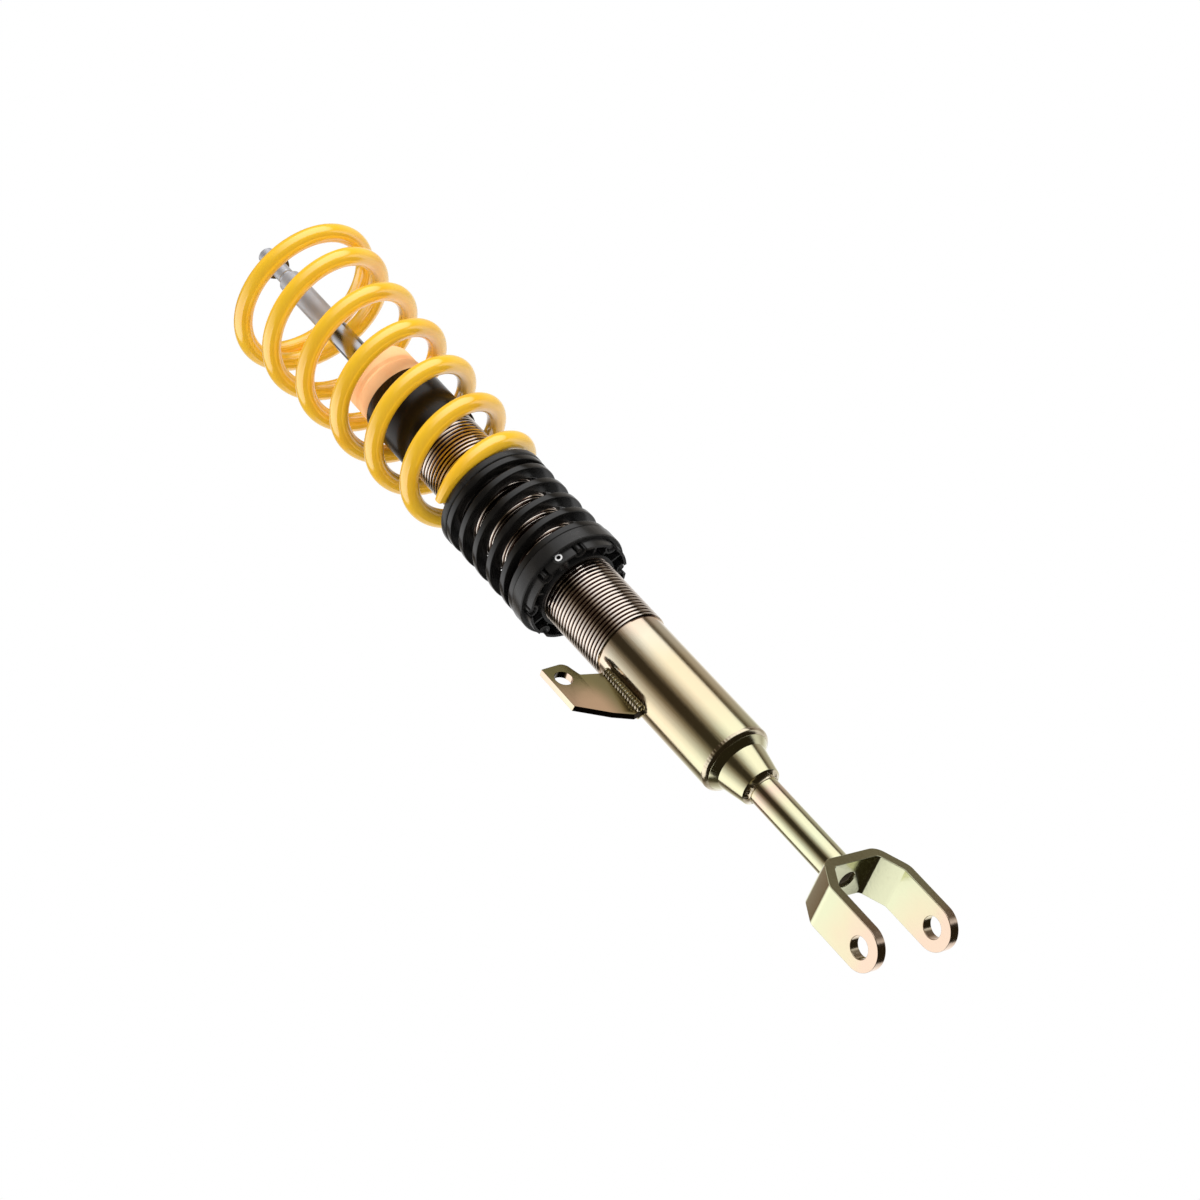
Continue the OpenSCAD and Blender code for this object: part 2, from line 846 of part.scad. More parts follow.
// Flat-wire helper spring between the perch and the coupler
module helper_spring() {
    w = helper_wire_w / 2;
    h = helper_wire_h / 2;
    section = [[w, 0], [w, h], [-w, h], [-w, 0], [-w, -h], [w, -h]];
    turns = ring_turns(helper_curls);
    rings = [for (t = turns)
        [for (p = section) coil_point(helper_start, t, helper_r + p.x, helper_z(t) + p.y)]];
    centres = [for (t = turns) coil_point(helper_start, t, helper_r, helper_z(t))];
    echo(helper_spring_gap = least_gap(centres, helper_wire_h));
    color(satin_black) tube_skin(rings);
}

module spring_coupler() {
    edge = 1;
    color(satin_black)
        turned([
            [collar_r, coupler_z - collar_h], [collar_r + collar_t, coupler_z - collar_h],
            [collar_r + collar_t, coupler_z], [coupler_r - edge, coupler_z],
            [coupler_r, coupler_z + edge], [coupler_r, spring_seat - edge],
            [coupler_r - edge, spring_seat], [collar_r + collar_t, spring_seat],
            [collar_r + collar_t, spring_seat + collar_h], [collar_r, spring_seat + collar_h]
        ]);
}

// Height of the main spring wire's centre after t curls
function spring_z(t) =
    let (
        ramp = 0.7,
        lead_in = -0.249,
        run_out = 1.36
    )
    spring_seat + spring_tip_rise + spring_low_pitch * t
    + (spring_pitch - spring_low_pitch) * step_rise(t, lead_in, ramp)
    - (spring_pitch - spring_end_pitch) * step_rise(t, spring_curls - run_out, ramp);

// Mean radius of the main spring after t curls
function spring_r(t) =
    let (y = t / spring_curls)
    (spring_low_d
    + (spring_top_d - spring_low_d) * (spring_flare * y - (spring_flare - 1) * y * y)) / 2;

// Round-wire main spring, ground flat where it meets the coupler
module main_spring() {
    w = wire_d / 2;
    floor_z = spring_seat + seat_gap;
    turns = ring_turns(spring_curls);
    rings = [for (t = turns)
        [for (a = [0:60:300])
            coil_point(spring_start, t, spring_r(t) + w * cos(a),
                max(spring_z(t) + w * sin(a), floor_z))]];
    centres = [for (t = turns) coil_point(spring_start, t, spring_r(t), spring_z(t))];
    echo(main_spring_gap = least_gap(centres, wire_d));
    color(spring_yellow) tube_skin(rings);
}

strut_tube();
end_disc();
tube_weld();
cone_adapter();
cone_weld();
stub_tube();
stub_weld();
fork();
link_bracket();
bracket_weld();
pressure_tube();
base_valve();
rod_guide();
guide_bush();
rod_seal();
gland_nut();
piston_rod();
stud_nut();
rebound_stop();
piston();
piston_band();
valve_shims();
piston_nut();
bump_stop();
dust_boot();
perch_ring();
lock_screw();
helper_spring();
spring_coupler();
main_spring();
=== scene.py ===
"""Looks of a threaded-body coilover strut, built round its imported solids. Sizes are in mm."""
import logging
import math
from contextlib import contextmanager
from dataclasses import dataclass
from enum import Enum
from typing import Callable, Iterator, Optional, Sequence, Union

import bmesh
import bpy
import numpy as np
from mathutils import Matrix, Vector, noise


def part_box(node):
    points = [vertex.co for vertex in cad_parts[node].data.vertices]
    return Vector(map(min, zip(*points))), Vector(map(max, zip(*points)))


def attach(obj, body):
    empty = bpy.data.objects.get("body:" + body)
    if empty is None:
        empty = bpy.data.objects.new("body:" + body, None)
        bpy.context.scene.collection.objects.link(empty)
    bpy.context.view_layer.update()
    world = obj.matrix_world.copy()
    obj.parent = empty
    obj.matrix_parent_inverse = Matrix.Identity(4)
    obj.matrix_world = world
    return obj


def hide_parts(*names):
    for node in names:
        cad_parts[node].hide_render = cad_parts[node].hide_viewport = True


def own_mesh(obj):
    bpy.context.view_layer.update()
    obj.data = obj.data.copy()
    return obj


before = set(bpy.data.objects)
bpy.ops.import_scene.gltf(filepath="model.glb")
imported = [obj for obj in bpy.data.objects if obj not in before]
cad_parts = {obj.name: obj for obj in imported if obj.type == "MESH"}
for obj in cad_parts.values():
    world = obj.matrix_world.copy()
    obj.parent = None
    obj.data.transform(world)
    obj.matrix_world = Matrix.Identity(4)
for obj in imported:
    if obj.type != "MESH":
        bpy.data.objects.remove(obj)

LOG = logging.getLogger("coilover")
MM = 0.001
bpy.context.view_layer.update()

Colour = tuple[float, float, float]
Point = tuple[float, float, float]
Value = Union[float, int, "Wire"]
Pair = tuple[float, float]
Ripple = Callable[[float, float, float], Pair]

SAME_POINT = 2e-6
ON_AXIS = 1e-6
FULL_TURN = 2 * math.pi


# ---------------------------------------------------------------- node expressions


def _operator(operation: str, swapped: bool = False) -> Callable[["Wire", Value], "Wire"]:
    """Makes an arithmetic operator for wires.

    Args:
        operation: The Math node's operation.
        swapped: Whether the wire is its second input.

    Returns:
        The operator.
    """
    def apply(self: "Wire", other: Value) -> "Wire":
        """Adds the Math node."""
        pair = (other, self) if swapped else (self, other)
        return self.board.math(operation, *pair)
    return apply


class Wire:
    """One output of a node, on which plain arithmetic adds Math nodes."""

    def __init__(self, board: "Board", socket: bpy.types.NodeSocket) -> None:
        """Keeps the socket and the board it belongs to."""
        self.board = board
        self.socket = socket

    __add__ = __radd__ = _operator("ADD")
    __sub__ = _operator("SUBTRACT")
    __rsub__ = _operator("SUBTRACT", swapped=True)
    __mul__ = __rmul__ = _operator("MULTIPLY")
    __truediv__ = _operator("DIVIDE")
    __pow__ = _operator("POWER")


class Board:
    """A node tree written as expressions."""

    def __init__(self, tree: bpy.types.NodeTree) -> None:
        """Wraps a tree."""
        self.tree = tree

    def node(self, kind: str, sockets: Optional[dict] = None,
             **settings: object) -> bpy.types.Node:
        """Adds a node.

        Args:
            kind: The node's type name.
            sockets: Values or wires of its inputs, by name or number.
            settings: Its properties, set first. "stops" fills a colour ramp.

        Returns:
            The new node.
        """
        made = self.tree.nodes.new(kind)
        for key, value in settings.items():
            if key == "stops":
                self._fill_ramp(made.color_ramp, value)
            else:
                setattr(made, key, value)
        for key, value in (sockets or {}).items():
            if isinstance(value, Wire):
                self.tree.links.new(value.socket, made.inputs[key])
            else:
                made.inputs[key].default_value = value
        return made

    @staticmethod
    def _fill_ramp(ramp: bpy.types.ColorRamp, stops: Sequence[tuple[float, Colour]]) -> None:
        """Gives a colour ramp its stops, each a place and a colour."""
        while len(ramp.elements) < len(stops):
            ramp.elements.new(1.0)
        for element, (place, tone) in zip(ramp.elements, stops):
            element.position = place
            element.color = (*tone, 1.0)

    def add(self, kind: str, sockets: Optional[dict] = None, output: Union[int, str] = 0,
            **settings: object) -> Wire:
        """Adds a node and returns one of its outputs.

        Args:
            kind: The node's type name.
            sockets: Values or wires of its inputs.
            output: The output's name or number.
            settings: Its properties.

        Returns:
            The output's wire.
        """
        return Wire(self, self.node(kind, sockets, **settings).outputs[output])

    def math(self, operation: str, *values: Value) -> Wire:
        """Adds a Math node.

        Args:
            operation: The node's operation.
            values: Its inputs, in order.

        Returns:
            The result's wire.
        """
        return self.add("ShaderNodeMath", dict(enumerate(values)), operation=operation)

    def clamp(self, value: Value, low: Value = 0.0, high: Value = 1.0) -> Wire:
        """Keeps a value between two limits."""
        return self.math("MINIMUM", self.math("MAXIMUM", value, low), high)

    def mix(self, share: Value, first: Union[Colour, Wire], second: Union[Colour, Wire]) -> Wire:
        """Mixes two colours.

        Args:
            share: How much of the second colour shows.
            first: The colour at share 0.
            second: The colour at share 1.

        Returns:
            The mixed colour's wire.
        """
        def full(tone: Union[Colour, Wire]) -> Union[tuple, Wire]:
            """Gives a plain colour its fourth number."""
            return tone if isinstance(tone, Wire) else (*tone, 1.0)
        return self.add("ShaderNodeMix", {0: share, 6: full(first), 7: full(second)}, 2,
                        data_type="RGBA")

    def place(self, stretch: Point = (1.0, 1.0, 1.0)) -> Wire:
        """Object coordinates, stretched along the axes."""
        here = self.add("ShaderNodeTexCoord", output="Object")
        return self.add("ShaderNodeMapping", {"Vector": here, "Scale": stretch})

    def cloud(self, scale: float, detail: float = 2.0, rough: float = 0.5,
              stretch: Point = (1.0, 1.0, 1.0)) -> Wire:
        """Noise between 0 and 1 on stretched object coordinates."""
        return self.add("ShaderNodeTexNoise", {
            "Vector": self.place(stretch), "Scale": scale, "Detail": detail, "Roughness": rough})

    def parts(self, vector: Optional[Wire] = None) -> tuple[Wire, ...]:
        """The x, y and z of a vector, or of the object coordinates if none is given."""
        split = self.node("ShaderNodeSeparateXYZ", {0: vector or self.place()})
        return tuple(Wire(self, out) for out in split.outputs)

    def radius(self) -> Wire:
        """Distance from the object's upright axis."""
        return self.add("ShaderNodeVectorMath", {0: self.place((1.0, 1.0, 0.0))}, "Value",
                        operation="LENGTH")

    def step(self, value: Value, low: float, high: float) -> Wire:
        """Smooth step from 0 at low to 1 at high."""
        return self.add("ShaderNodeMapRange", {"Value": value, "From Min": low, "From Max": high},
                        interpolation_type="SMOOTHSTEP")

    def bump(self, height: Wire, depth: float) -> Wire:
        """Normal of a surface that is raised by depth metres where height is 1."""
        return self.add("ShaderNodeBump", {"Height": height, "Distance": depth})

    def vector(self, x: Value, y: Value, z: Value) -> Wire:
        """A vector of three values."""
        return self.add("ShaderNodeCombineXYZ", {"X": x, "Y": y, "Z": z})

    def spun(self, radius: Wire, angle: Wire, height: Wire) -> Wire:
        """The spot at a radius, an angle and a height."""
        return self.vector(radius * self.math("COSINE", angle),
                           radius * self.math("SINE", angle), height)

    def moved(self, shape: Wire, spot: Wire) -> Wire:
        """Moves a geometry's points."""
        return self.add("GeometryNodeSetPosition", {"Geometry": shape, "Position": spot})

    def join(self, shapes: Sequence[Wire]) -> Wire:
        """Joins geometries."""
        made = self.node("GeometryNodeJoinGeometry")
        for shape in shapes:
            self.tree.links.new(shape.socket, made.inputs[0])
        return Wire(self, made.outputs[0])


def emptied(owner: Union[bpy.types.Material, bpy.types.World]) -> Board:
    """Empties the node tree of a material or world and opens it."""
    owner.use_nodes = True
    owner.node_tree.nodes.clear()
    return Board(owner.node_tree)


def toward(x: Wire, y: Wire, degrees: float) -> Wire:
    """How far (x, y) reaches in a direction."""
    a = math.radians(degrees)
    return x * math.cos(a) + y * math.sin(a)


# ---------------------------------------------------------------- finishes


@dataclass(frozen=True)
class Finish:
    """A surface finish.

    Attributes:
        name: The material's name.
        slot: The record's slot that it dresses. Not used.
        base: Base colour, linear.
        roughness: Middle roughness.
    """

    name: str
    slot: str
    base: Colour
    roughness: float

    def surface(self, board: Board) -> dict:
        """The shader's sockets; each finish gives its own."""
        return {"Base Color": (*self.base, 1.0), "Roughness": self.roughness}

    def material(self) -> bpy.types.Material:
        """The finish's material, made once."""
        found = bpy.data.materials.get(self.name)
        if found is not None:
            return found
        made = bpy.data.materials.new(self.name)
        board = emptied(made)
        shader = board.add("ShaderNodeBsdfPrincipled", self.surface(board))
        board.node("ShaderNodeOutputMaterial", {"Surface": shader})
        return made


@dataclass(frozen=True)
class GoldPlate(Finish):
    """Zinc plating with a pale gold, faintly iridescent passivation.

    Attributes:
        rose: Tone of its pinkish zones.
        mint: Tone of its greenish zones.
        moss: Tone of its yellow-green zones.
        honey: Tone of its warm yellow zones.
        mark: Tone of its handling marks.
        crest: Pale tone over the threaded part, a painted highlight for its crests.
        groove_shade: Painted shade in the thread's grooves.
        bare: Tone of the dull steel in the bore.
        grain: Height of the drawn surface's fine waves, in metres.
        groove_r: Distance from the axis below which the thread gets painted shade, in metres.
        thread_z: Start of that thread, in metres.
        bore_r: Distance from the axis below which the steel is dull and bare, in metres.
        bore_z: Height from which that holds, in metres.
    """

    rose: Colour = (0.92, 0.71, 0.55)
    mint: Colour = (0.83, 0.84, 0.57)
    moss: Colour = (0.86, 0.82, 0.54)
    honey: Colour = (0.90, 0.76, 0.51)
    mark: Colour = (0.45, 0.36, 0.20)
    crest: Colour = (0.98, 0.93, 0.87)
    groove_shade: Colour = (0.13, 0.07, 0.05)
    bare: Colour = (0.26, 0.21, 0.15)
    grain: float = 0.00002
    groove_r: float = 0.0
    thread_z: float = 0.2732
    bore_r: float = 0.0064
    bore_z: float = 0.0535

    def film(self, board: Board, height: Wire, drift: Wire) -> Wire:
        """Colour of the passivation film, which changes along the strut.

        Args:
            board: The material's board.
            height: Height up the strut, in metres.
            drift: Slow noise that frays the zones.

        Returns:
            The film's colour.
        """
        zones = (
            (-0.015, self.rose), (-0.004, self.rose), (0.010, self.base), (0.030, self.mint),
            (0.052, self.mint), (0.064, self.moss), (0.085, self.mint), (0.108, self.moss),
            (0.129, self.rose), (0.138, self.moss), (0.172, self.moss), (0.205, self.honey),
            (0.235, self.honey), (0.262, self.base), (0.278, self.rose))
        low, span = -0.03, 0.32
        where = height + (drift - 0.5) * 0.05
        return board.add("ShaderNodeValToRGB", {"Fac": (where - low) / span},
                         stops=[((z - low) / span, tone) for z, tone in zones])

    def surface(self, board: Board) -> dict:
        """Iridescent zones, faint drawing lines, handling marks and a thread's painted light."""
        height = board.parts()[2]
        radius = board.radius()
        drift = board.cloud(26.0)
        marks = board.cloud(420.0, 4.0, 0.65)
        lines = board.cloud(900.0, stretch=(1.0, 1.0, 0.06))
        tint = self.film(board, height, drift)
        tint = board.mix(board.step(marks, 0.62, 0.80) * 0.2, tint, self.mark)
        bare = (board.step(radius, self.bore_r, self.bore_r - 0.0003)
                * board.step(height, self.bore_z, self.bore_z + 0.0005))
        tint = board.mix(bare, tint, self.bare)
        if self.groove_r:
            thread = board.step(height, self.thread_z, self.thread_z + 0.0008)
            deep = board.step(radius, self.groove_r, self.groove_r - 0.0007) * thread
            # A pale tone over the threaded part is a painted highlight on its crests.
            tint = board.mix(thread * 0.7, tint, self.crest)
            # Painted shade in the thread's grooves.
            tint = board.mix(deep, tint, self.groove_shade)
        return {
            "Base Color": tint,
            "Metallic": 1.0 - bare * 0.6,
            "Roughness": self.roughness + (drift - 0.5) * 0.08 + (marks - 0.5) * 0.08 + bare * 0.3,
            "Normal": board.bump(lines + marks, self.grain),
        }


@dataclass(frozen=True)
class ReflectionTintPlate(GoldPlate):
    """The same plating, with painted reflection on a plate's broad sides and painted shade below.

    Attributes:
        turn: Direction square to the plate, in degrees.
        olive: Tone of the painted reflection on its upper part.
        brown: Tone of the painted reflection on its lower part.
        weld_side_tone: Tone of the painted reflection next to the weld.
        soot: Painted shade on its downward faces.
    """

    turn: float = 249.0
    olive: Colour = (0.15, 0.125, 0.05)
    brown: Colour = (0.40, 0.26, 0.155)
    weld_side_tone: Colour = (0.16, 0.13, 0.06)
    soot: Colour = (0.05, 0.034, 0.016)

    def surface(self, board: Board) -> dict:
        """Painted reflection on the broad sides between bright plated edges, painted shade below.
        """
        looks = super().surface(board)
        nx, ny, nz = board.parts(board.add("ShaderNodeNewGeometry", output="Normal"))
        side = board.math("ABSOLUTE", toward(nx, ny, self.turn))
        out = board.radius()
        climb = board.parts()[2] + (board.cloud(45.0) - 0.5) * 0.02 + (0.060 - out) * 0.45
        # The broad sides get a painted dark reflection: olive above, brown below, dark olive by
        # the weld.
        tone = board.mix(board.step(climb, 0.252, 0.281), self.brown, self.olive)
        tone = board.mix(board.step(out, 0.0440, 0.0310), tone, self.weld_side_tone)
        tone = board.mix(board.step(side, 0.80, 0.92), looks["Base Color"], tone)
        # Downward-facing faces get painted shade.
        looks["Base Color"] = board.mix(board.step(nz, -0.45, -0.60), tone, self.soot)
        return looks


@dataclass(frozen=True)
class WeldMetal(Finish):
    """Plated weld metal with soot and brown heat tint.

    Attributes:
        burn: Share of soot and of rough skin.
        stain: Tone of the soot.
    """

    burn: float = 1.0
    stain: Colour = (0.26, 0.18, 0.10)

    def surface(self, board: Board) -> dict:
        """Heat tint in patches over a rough bead."""
        heat = board.cloud(260.0, 3.0)
        fine = board.cloud(1400.0)
        tint = board.mix(board.step(heat, 0.42, 0.66) * self.burn, self.base, self.stain)
        return {
            "Base Color": tint,
            "Metallic": 1.0,
            "Roughness": self.roughness + (heat - 0.5) * (0.3 * self.burn),
            "Normal": board.bump(heat + fine * 0.4, 0.00020 * self.burn),
        }


@dataclass(frozen=True)
class ToedWeld(WeldMetal):
    """Weld metal that ends in a bright, matt toe.

    Attributes:
        turn: Direction in which the bead stands out from the axis, in degrees.
        toe: Distance along that direction where the toe starts, in metres.
        rim: Tone of the toe.
    """

    turn: float = 159.0
    toe: float = 0.0276
    rim: Colour = (1.0, 0.86, 0.66)

    def surface(self, board: Board) -> dict:
        """Heat tint with the toe along its outer edge."""
        looks = super().surface(board)
        out = toward(*board.parts()[:2], self.turn)
        edge = board.step(out, self.toe, self.toe + 0.0004)
        looks["Base Color"] = board.mix(edge, looks["Base Color"], self.rim)
        looks["Metallic"] = 1.0 - edge * 0.8
        return looks


@dataclass(frozen=True)
class PlainSteel(Finish):
    """Bright or oiled steel with turning marks.

    Attributes:
        shade: Tone of its darker patches.
        grain: Height of its fine marks, in metres.
        dull_z: Height above which it is satin, in metres. Zero for none.
    """

    shade: Colour = (0.35, 0.34, 0.33)
    grain: float = 0.00001
    dull_z: float = 0.0

    def surface(self, board: Board) -> dict:
        """Faint patches and turning marks."""
        film = board.cloud(60.0, 3.0)
        marks = board.cloud(500.0, 3.0, stretch=(1.0, 1.0, 8.0))
        rough = self.roughness + (film - 0.5) * 0.12 + (marks - 0.5) * 0.06
        metal: Value = 1.0
        if self.dull_z:
            satin = board.step(board.parts()[2], self.dull_z, self.dull_z + 0.02)
            rough = rough + satin * 0.28
            metal = 1.0 - satin * 0.5
        return {
            "Base Color": board.mix(board.step(film, 0.45, 0.75) * 0.6, self.base, self.shade),
            "Metallic": metal,
            "Roughness": rough,
            "Normal": board.bump(marks, self.grain),
        }


@dataclass(frozen=True)
class ScrewSteel(PlainSteel):
    """White-plated screw with painted shade in its socket.

    Attributes:
        aim: Direction of its axis, in degrees.
        height: Height of its axis, in metres.
        socket_r: Radius of its socket, in metres.
        socket_shade: Painted shade in its socket.
    """

    aim: float = 227.0
    height: float = 0.3353
    socket_r: float = 0.00145
    socket_shade: Colour = (0.006, 0.006, 0.006)

    def surface(self, board: Board) -> dict:
        """Pale end face round a socket with painted shade."""
        looks = super().surface(board)
        x, y, z = board.parts()
        side, up = toward(x, y, self.aim + 90.0), z - self.height
        away = board.math("SQRT", side * side + up * up)
        # The socket's recess is painted dark as its shade.
        deep = board.step(away, self.socket_r + 0.0001, self.socket_r - 0.0001)
        looks["Base Color"] = board.mix(deep, self.base, self.socket_shade)
        looks["Metallic"] = 0.0
        return looks


@dataclass(frozen=True)
class PowderCoat(Finish):
    """Thick glossy powder coat with a faint orange peel.

    Attributes:
        deep: Tone where the coat is thick.
        peel: Height of the orange peel, in metres.
    """

    deep: Colour = (0.97, 0.50, 0.014)
    peel: float = 0.000015

    def surface(self, board: Board) -> dict:
        """Even colour, soft peel and a clear gloss."""
        drift = board.cloud(22.0)
        skin = board.cloud(520.0, 1.0)
        return {
            "Base Color": board.mix(board.step(drift, 0.45, 0.75), self.base, self.deep),
            "Roughness": self.roughness + (drift - 0.5) * 0.06,
            "Specular IOR Level": 0.2,
            "Coat Weight": 1.0,
            "Coat Roughness": 0.03,
            "Coat IOR": 2.3,
            "Normal": board.bump(skin, self.peel),
        }


@dataclass(frozen=True)
class BlackCoat(Finish):
    """Satin black paint or plastic.

    Attributes:
        worn: Tone of its dusty, rubbed places.
        grain: Height of its fine grain, in metres.
        shine: Strength of its gloss.
    """

    worn: Colour = (0.045, 0.045, 0.048)
    grain: float = 0.00002
    shine: float = 0.3

    def surface(self, board: Board) -> dict:
        """Fine grain and a little dust."""
        drift = board.cloud(45.0, 3.0)
        fine = board.cloud(1600.0)
        return {
            "Base Color": board.mix(board.step(drift, 0.50, 0.80), self.base, self.worn),
            "Roughness": self.roughness + (drift - 0.5) * 0.15,
            "Specular IOR Level": self.shine,
            "Normal": board.bump(fine, self.grain),
        }


@dataclass(frozen=True)
class Foam(Finish):
    """Closed-cell foam with a moulded skin.

    Attributes:
        pore: Tone inside its cells.
    """

    pore: Colour = (0.96, 0.47, 0.22)

    def surface(self, board: Board) -> dict:
        """Cells in the skin and soft uneven colour."""
        cells = board.add("ShaderNodeTexVoronoi", {"Vector": board.place(), "Scale": 700.0})
        drift = board.cloud(60.0, 3.0)
        tint = board.mix(board.step(drift, 0.40, 0.80) * 0.5, self.base, self.pore)
        tint = board.mix(board.step(cells, 0.30, 0.05) * 0.35, tint, self.pore)
        return {
            "Base Color": tint,
            "Roughness": self.roughness,
            "Specular IOR Level": 0.10,
            "Normal": board.bump(cells, 0.00004),
        }


class Slot(Enum):
    """The record's material slots and the finish of each."""

    GOLD = GoldPlate("gold_plate", "gold_steel", (0.88, 0.78, 0.54), 0.14)
    THREAD = GoldPlate("thread_plate", "gold_steel", (0.90, 0.81, 0.62), 0.13, groove_r=0.0261)
    REFLECTION_TINTED = ReflectionTintPlate("bracket_plate", "gold_steel", (0.88, 0.79, 0.58), 0.16)
    WELD = WeldMetal("weld_metal", "weld_steel", (0.86, 0.76, 0.56), 0.16, 0.25)
    BEAD = ToedWeld("burnt_weld", "weld_steel", (0.78, 0.73, 0.52), 0.20, 0.35)
    DARK = PlainSteel("oiled_steel", "dark_steel", (0.06, 0.055, 0.05), 0.32, (0.03, 0.028, 0.025))
    BRIGHT = PlainSteel("bright_steel", "bright_steel", (0.62, 0.61, 0.60), 0.22)
    NUT = PlainSteel("dark_nut", "bright_steel", (0.10, 0.10, 0.11), 0.30, (0.06, 0.06, 0.06))
    SCREW = ScrewSteel("screw_steel", "bright_steel", (0.80, 0.80, 0.80), 0.30)
    CHROME = PlainSteel("hard_chrome", "chrome_rod", (0.50, 0.51, 0.55), 0.11, (0.42, 0.42, 0.44),
                        dull_z=0.614)
    BRONZE = PlainSteel("bush_bronze", "bronze", (0.50, 0.30, 0.13), 0.30, (0.35, 0.20, 0.09))
    BAND = BlackCoat("piston_band", "bearing_band", (0.20, 0.08, 0.02), 0.45, (0.15, 0.06, 0.02))
    SEAL = BlackCoat("seal_skin", "seal_rubber", (0.012, 0.012, 0.012), 0.5)
    BOOT = BlackCoat("boot_skin", "boot_rubber", (0.010, 0.006, 0.003), 0.24,
                     (0.015, 0.011, 0.007), shine=0.32)
    FOAM = Foam("stop_skin", "salmon_foam", (0.99, 0.62, 0.33), 0.62)
    PERCH = BlackCoat("black_plastic", "perch_black", (0.014, 0.0135, 0.013), 0.26,
                      (0.030, 0.028, 0.027), shine=0.50)
    HELPER = BlackCoat("satin_black", "helper_black", (0.007, 0.0065, 0.006), 0.18,
                       (0.014, 0.013, 0.012), shine=0.56)
    YELLOW = PowderCoat("yellow_powder", "spring_yellow", (1.0, 0.58, 0.022), 0.34)


# ---------------------------------------------------------------- mesh making


def linked(name: str, data: bpy.types.ID) -> bpy.types.Object:
    """Makes an object from its data and links it to the scene."""
    made = bpy.data.objects.new(name, data)
    bpy.context.scene.collection.objects.link(made)
    return made


def mesh_object(name: str, points: Sequence, faces: Sequence) -> bpy.types.Object:
    """Makes an object from points in mm.

    Args:
        name: Its name.
        points: Its corners, in mm.
        faces: Its faces, as corner numbers.

    Returns:
        The object, linked to the scene.
    """
    mesh = bpy.data.meshes.new(name)
    mesh.from_pydata([tuple(float(c) * MM for c in point) for point in points], [],
                     [tuple(face) for face in faces])
    mesh.validate()
    return linked(name, mesh)


def shade(made: bpy.types.Object, sharp: float = 35.0) -> None:
    """Shades an object smooth, but for edges that bend by more than sharp degrees."""
    made.data.polygons.foreach_set("use_smooth", [True] * len(made.data.polygons))
    made.data.set_sharp_from_angle(angle=math.radians(sharp))


@contextmanager
def edited(made: bpy.types.Object) -> Iterator[bmesh.types.BMesh]:
    """Opens an object's mesh and writes it back."""
    work = bmesh.new()
    work.from_mesh(made.data)
    yield work
    work.to_mesh(made.data)
    work.free()


def face_out(made: bpy.types.Object) -> None:
    """Turns all faces outwards."""
    with edited(made) as work:
        bmesh.ops.recalc_face_normals(work, faces=work.faces)


def rounded(corners: Sequence[tuple[float, ...]], steps: int = 4,
            closed: bool = True) -> list[Pair]:
    """Rounds the corners of an outline.

    Args:
        corners: Corners as (x, y) or (x, y, radius).
        steps: Segments to a rounding.
        closed: Whether the last corner joins the first.

    Returns:
        The outline's points.
    """
    out: list[Pair] = []
    count = len(corners)
    for i, corner in enumerate(corners):
        here = np.array(corner[:2], float)
        radius = corner[2] if len(corner) > 2 else 0.0
        if radius <= 0 or (not closed and i in (0, count - 1)):
            out.append((here[0], here[1]))
            continue
        back = np.array(corners[i - 1][:2], float) - here
        ahead = np.array(corners[(i + 1) % count][:2], float) - here
        reach = min(np.linalg.norm(back), np.linalg.norm(ahead)) * 0.49
        back, ahead = back / np.linalg.norm(back), ahead / np.linalg.norm(ahead)
        half = math.acos(max(-1.0, min(1.0, float(back @ ahead)))) / 2
        cut = min(radius / math.tan(half), reach)
        radius = cut * math.tan(half)
        centre = here + (back + ahead) / np.linalg.norm(back + ahead) * radius / math.sin(half)
        first, last = here + back * cut - centre, here + ahead * cut - centre
        start = math.atan2(first[1], first[0])
        turn = (math.atan2(last[1], last[0]) - start + math.pi) % FULL_TURN - math.pi
        for k in range(steps + 1):
            a = start + turn * k / steps
            out.append((centre[0] + radius * math.cos(a), centre[1] + radius * math.sin(a)))
    return out


def turned(name: str, outline: Sequence[Pair], sides: int, closed: bool = True,
           ripple: Optional[Ripple] = None) -> bpy.types.Object:
    """Turns an outline round the strut axis.

    Args:
        name: The piece's name.
        outline: Points as (radius, height). Ends on the axis are closed to a pole.
        sides: Faces round the piece.
        closed: Whether the outline's ends are joined.
        ripple: Moves a point (angle, radius, height) to a new radius and height.

    Returns:
        The turned piece.
    """
    points: list[Point] = []
    rows: list[list[int]] = []
    for r, z in outline:
        if r < ON_AXIS:
            rows.append([len(points)] * sides)
            points.append((0.0, 0.0, z))
            continue
        rows.append(list(range(len(points), len(points) + sides)))
        for k in range(sides):
            a = FULL_TURN * k / sides
            rr, zz = ripple(a, r, z) if ripple else (r, z)
            points.append((rr * math.cos(a), rr * math.sin(a), zz))
    faces = []
    for i in range(len(rows) if closed else len(rows) - 1):
        low, high = rows[i], rows[(i + 1) % len(rows)]
        for k in range(sides):
            n = (k + 1) % sides
            corners = list(dict.fromkeys([low[k], low[n], high[n], high[k]]))
            if len(corners) > 2:
                faces.append(corners)
    made = mesh_object(name, points, faces)
    if closed or outline[0][0] < ON_AXIS:
        face_out(made)
    shade(made)
    return made


def waver(a: float, pace: float, seed: float) -> float:
    """Noise that closes on itself round the strut axis."""
    return noise.noise(Vector((math.cos(a) * pace, math.sin(a) * pace, seed)))


def settle(made: bpy.types.Object) -> bpy.types.Object:
    """Turns an object with modifiers into one with a plain mesh.

    Args:
        made: The object.

    Returns:
        The same object, with its final mesh and no modifiers.
    """
    bpy.context.view_layer.update()
    graph = bpy.context.evaluated_depsgraph_get()
    final = bpy.data.meshes.new_from_object(made.evaluated_get(graph))
    made.modifiers.clear()
    made.data = final
    return made


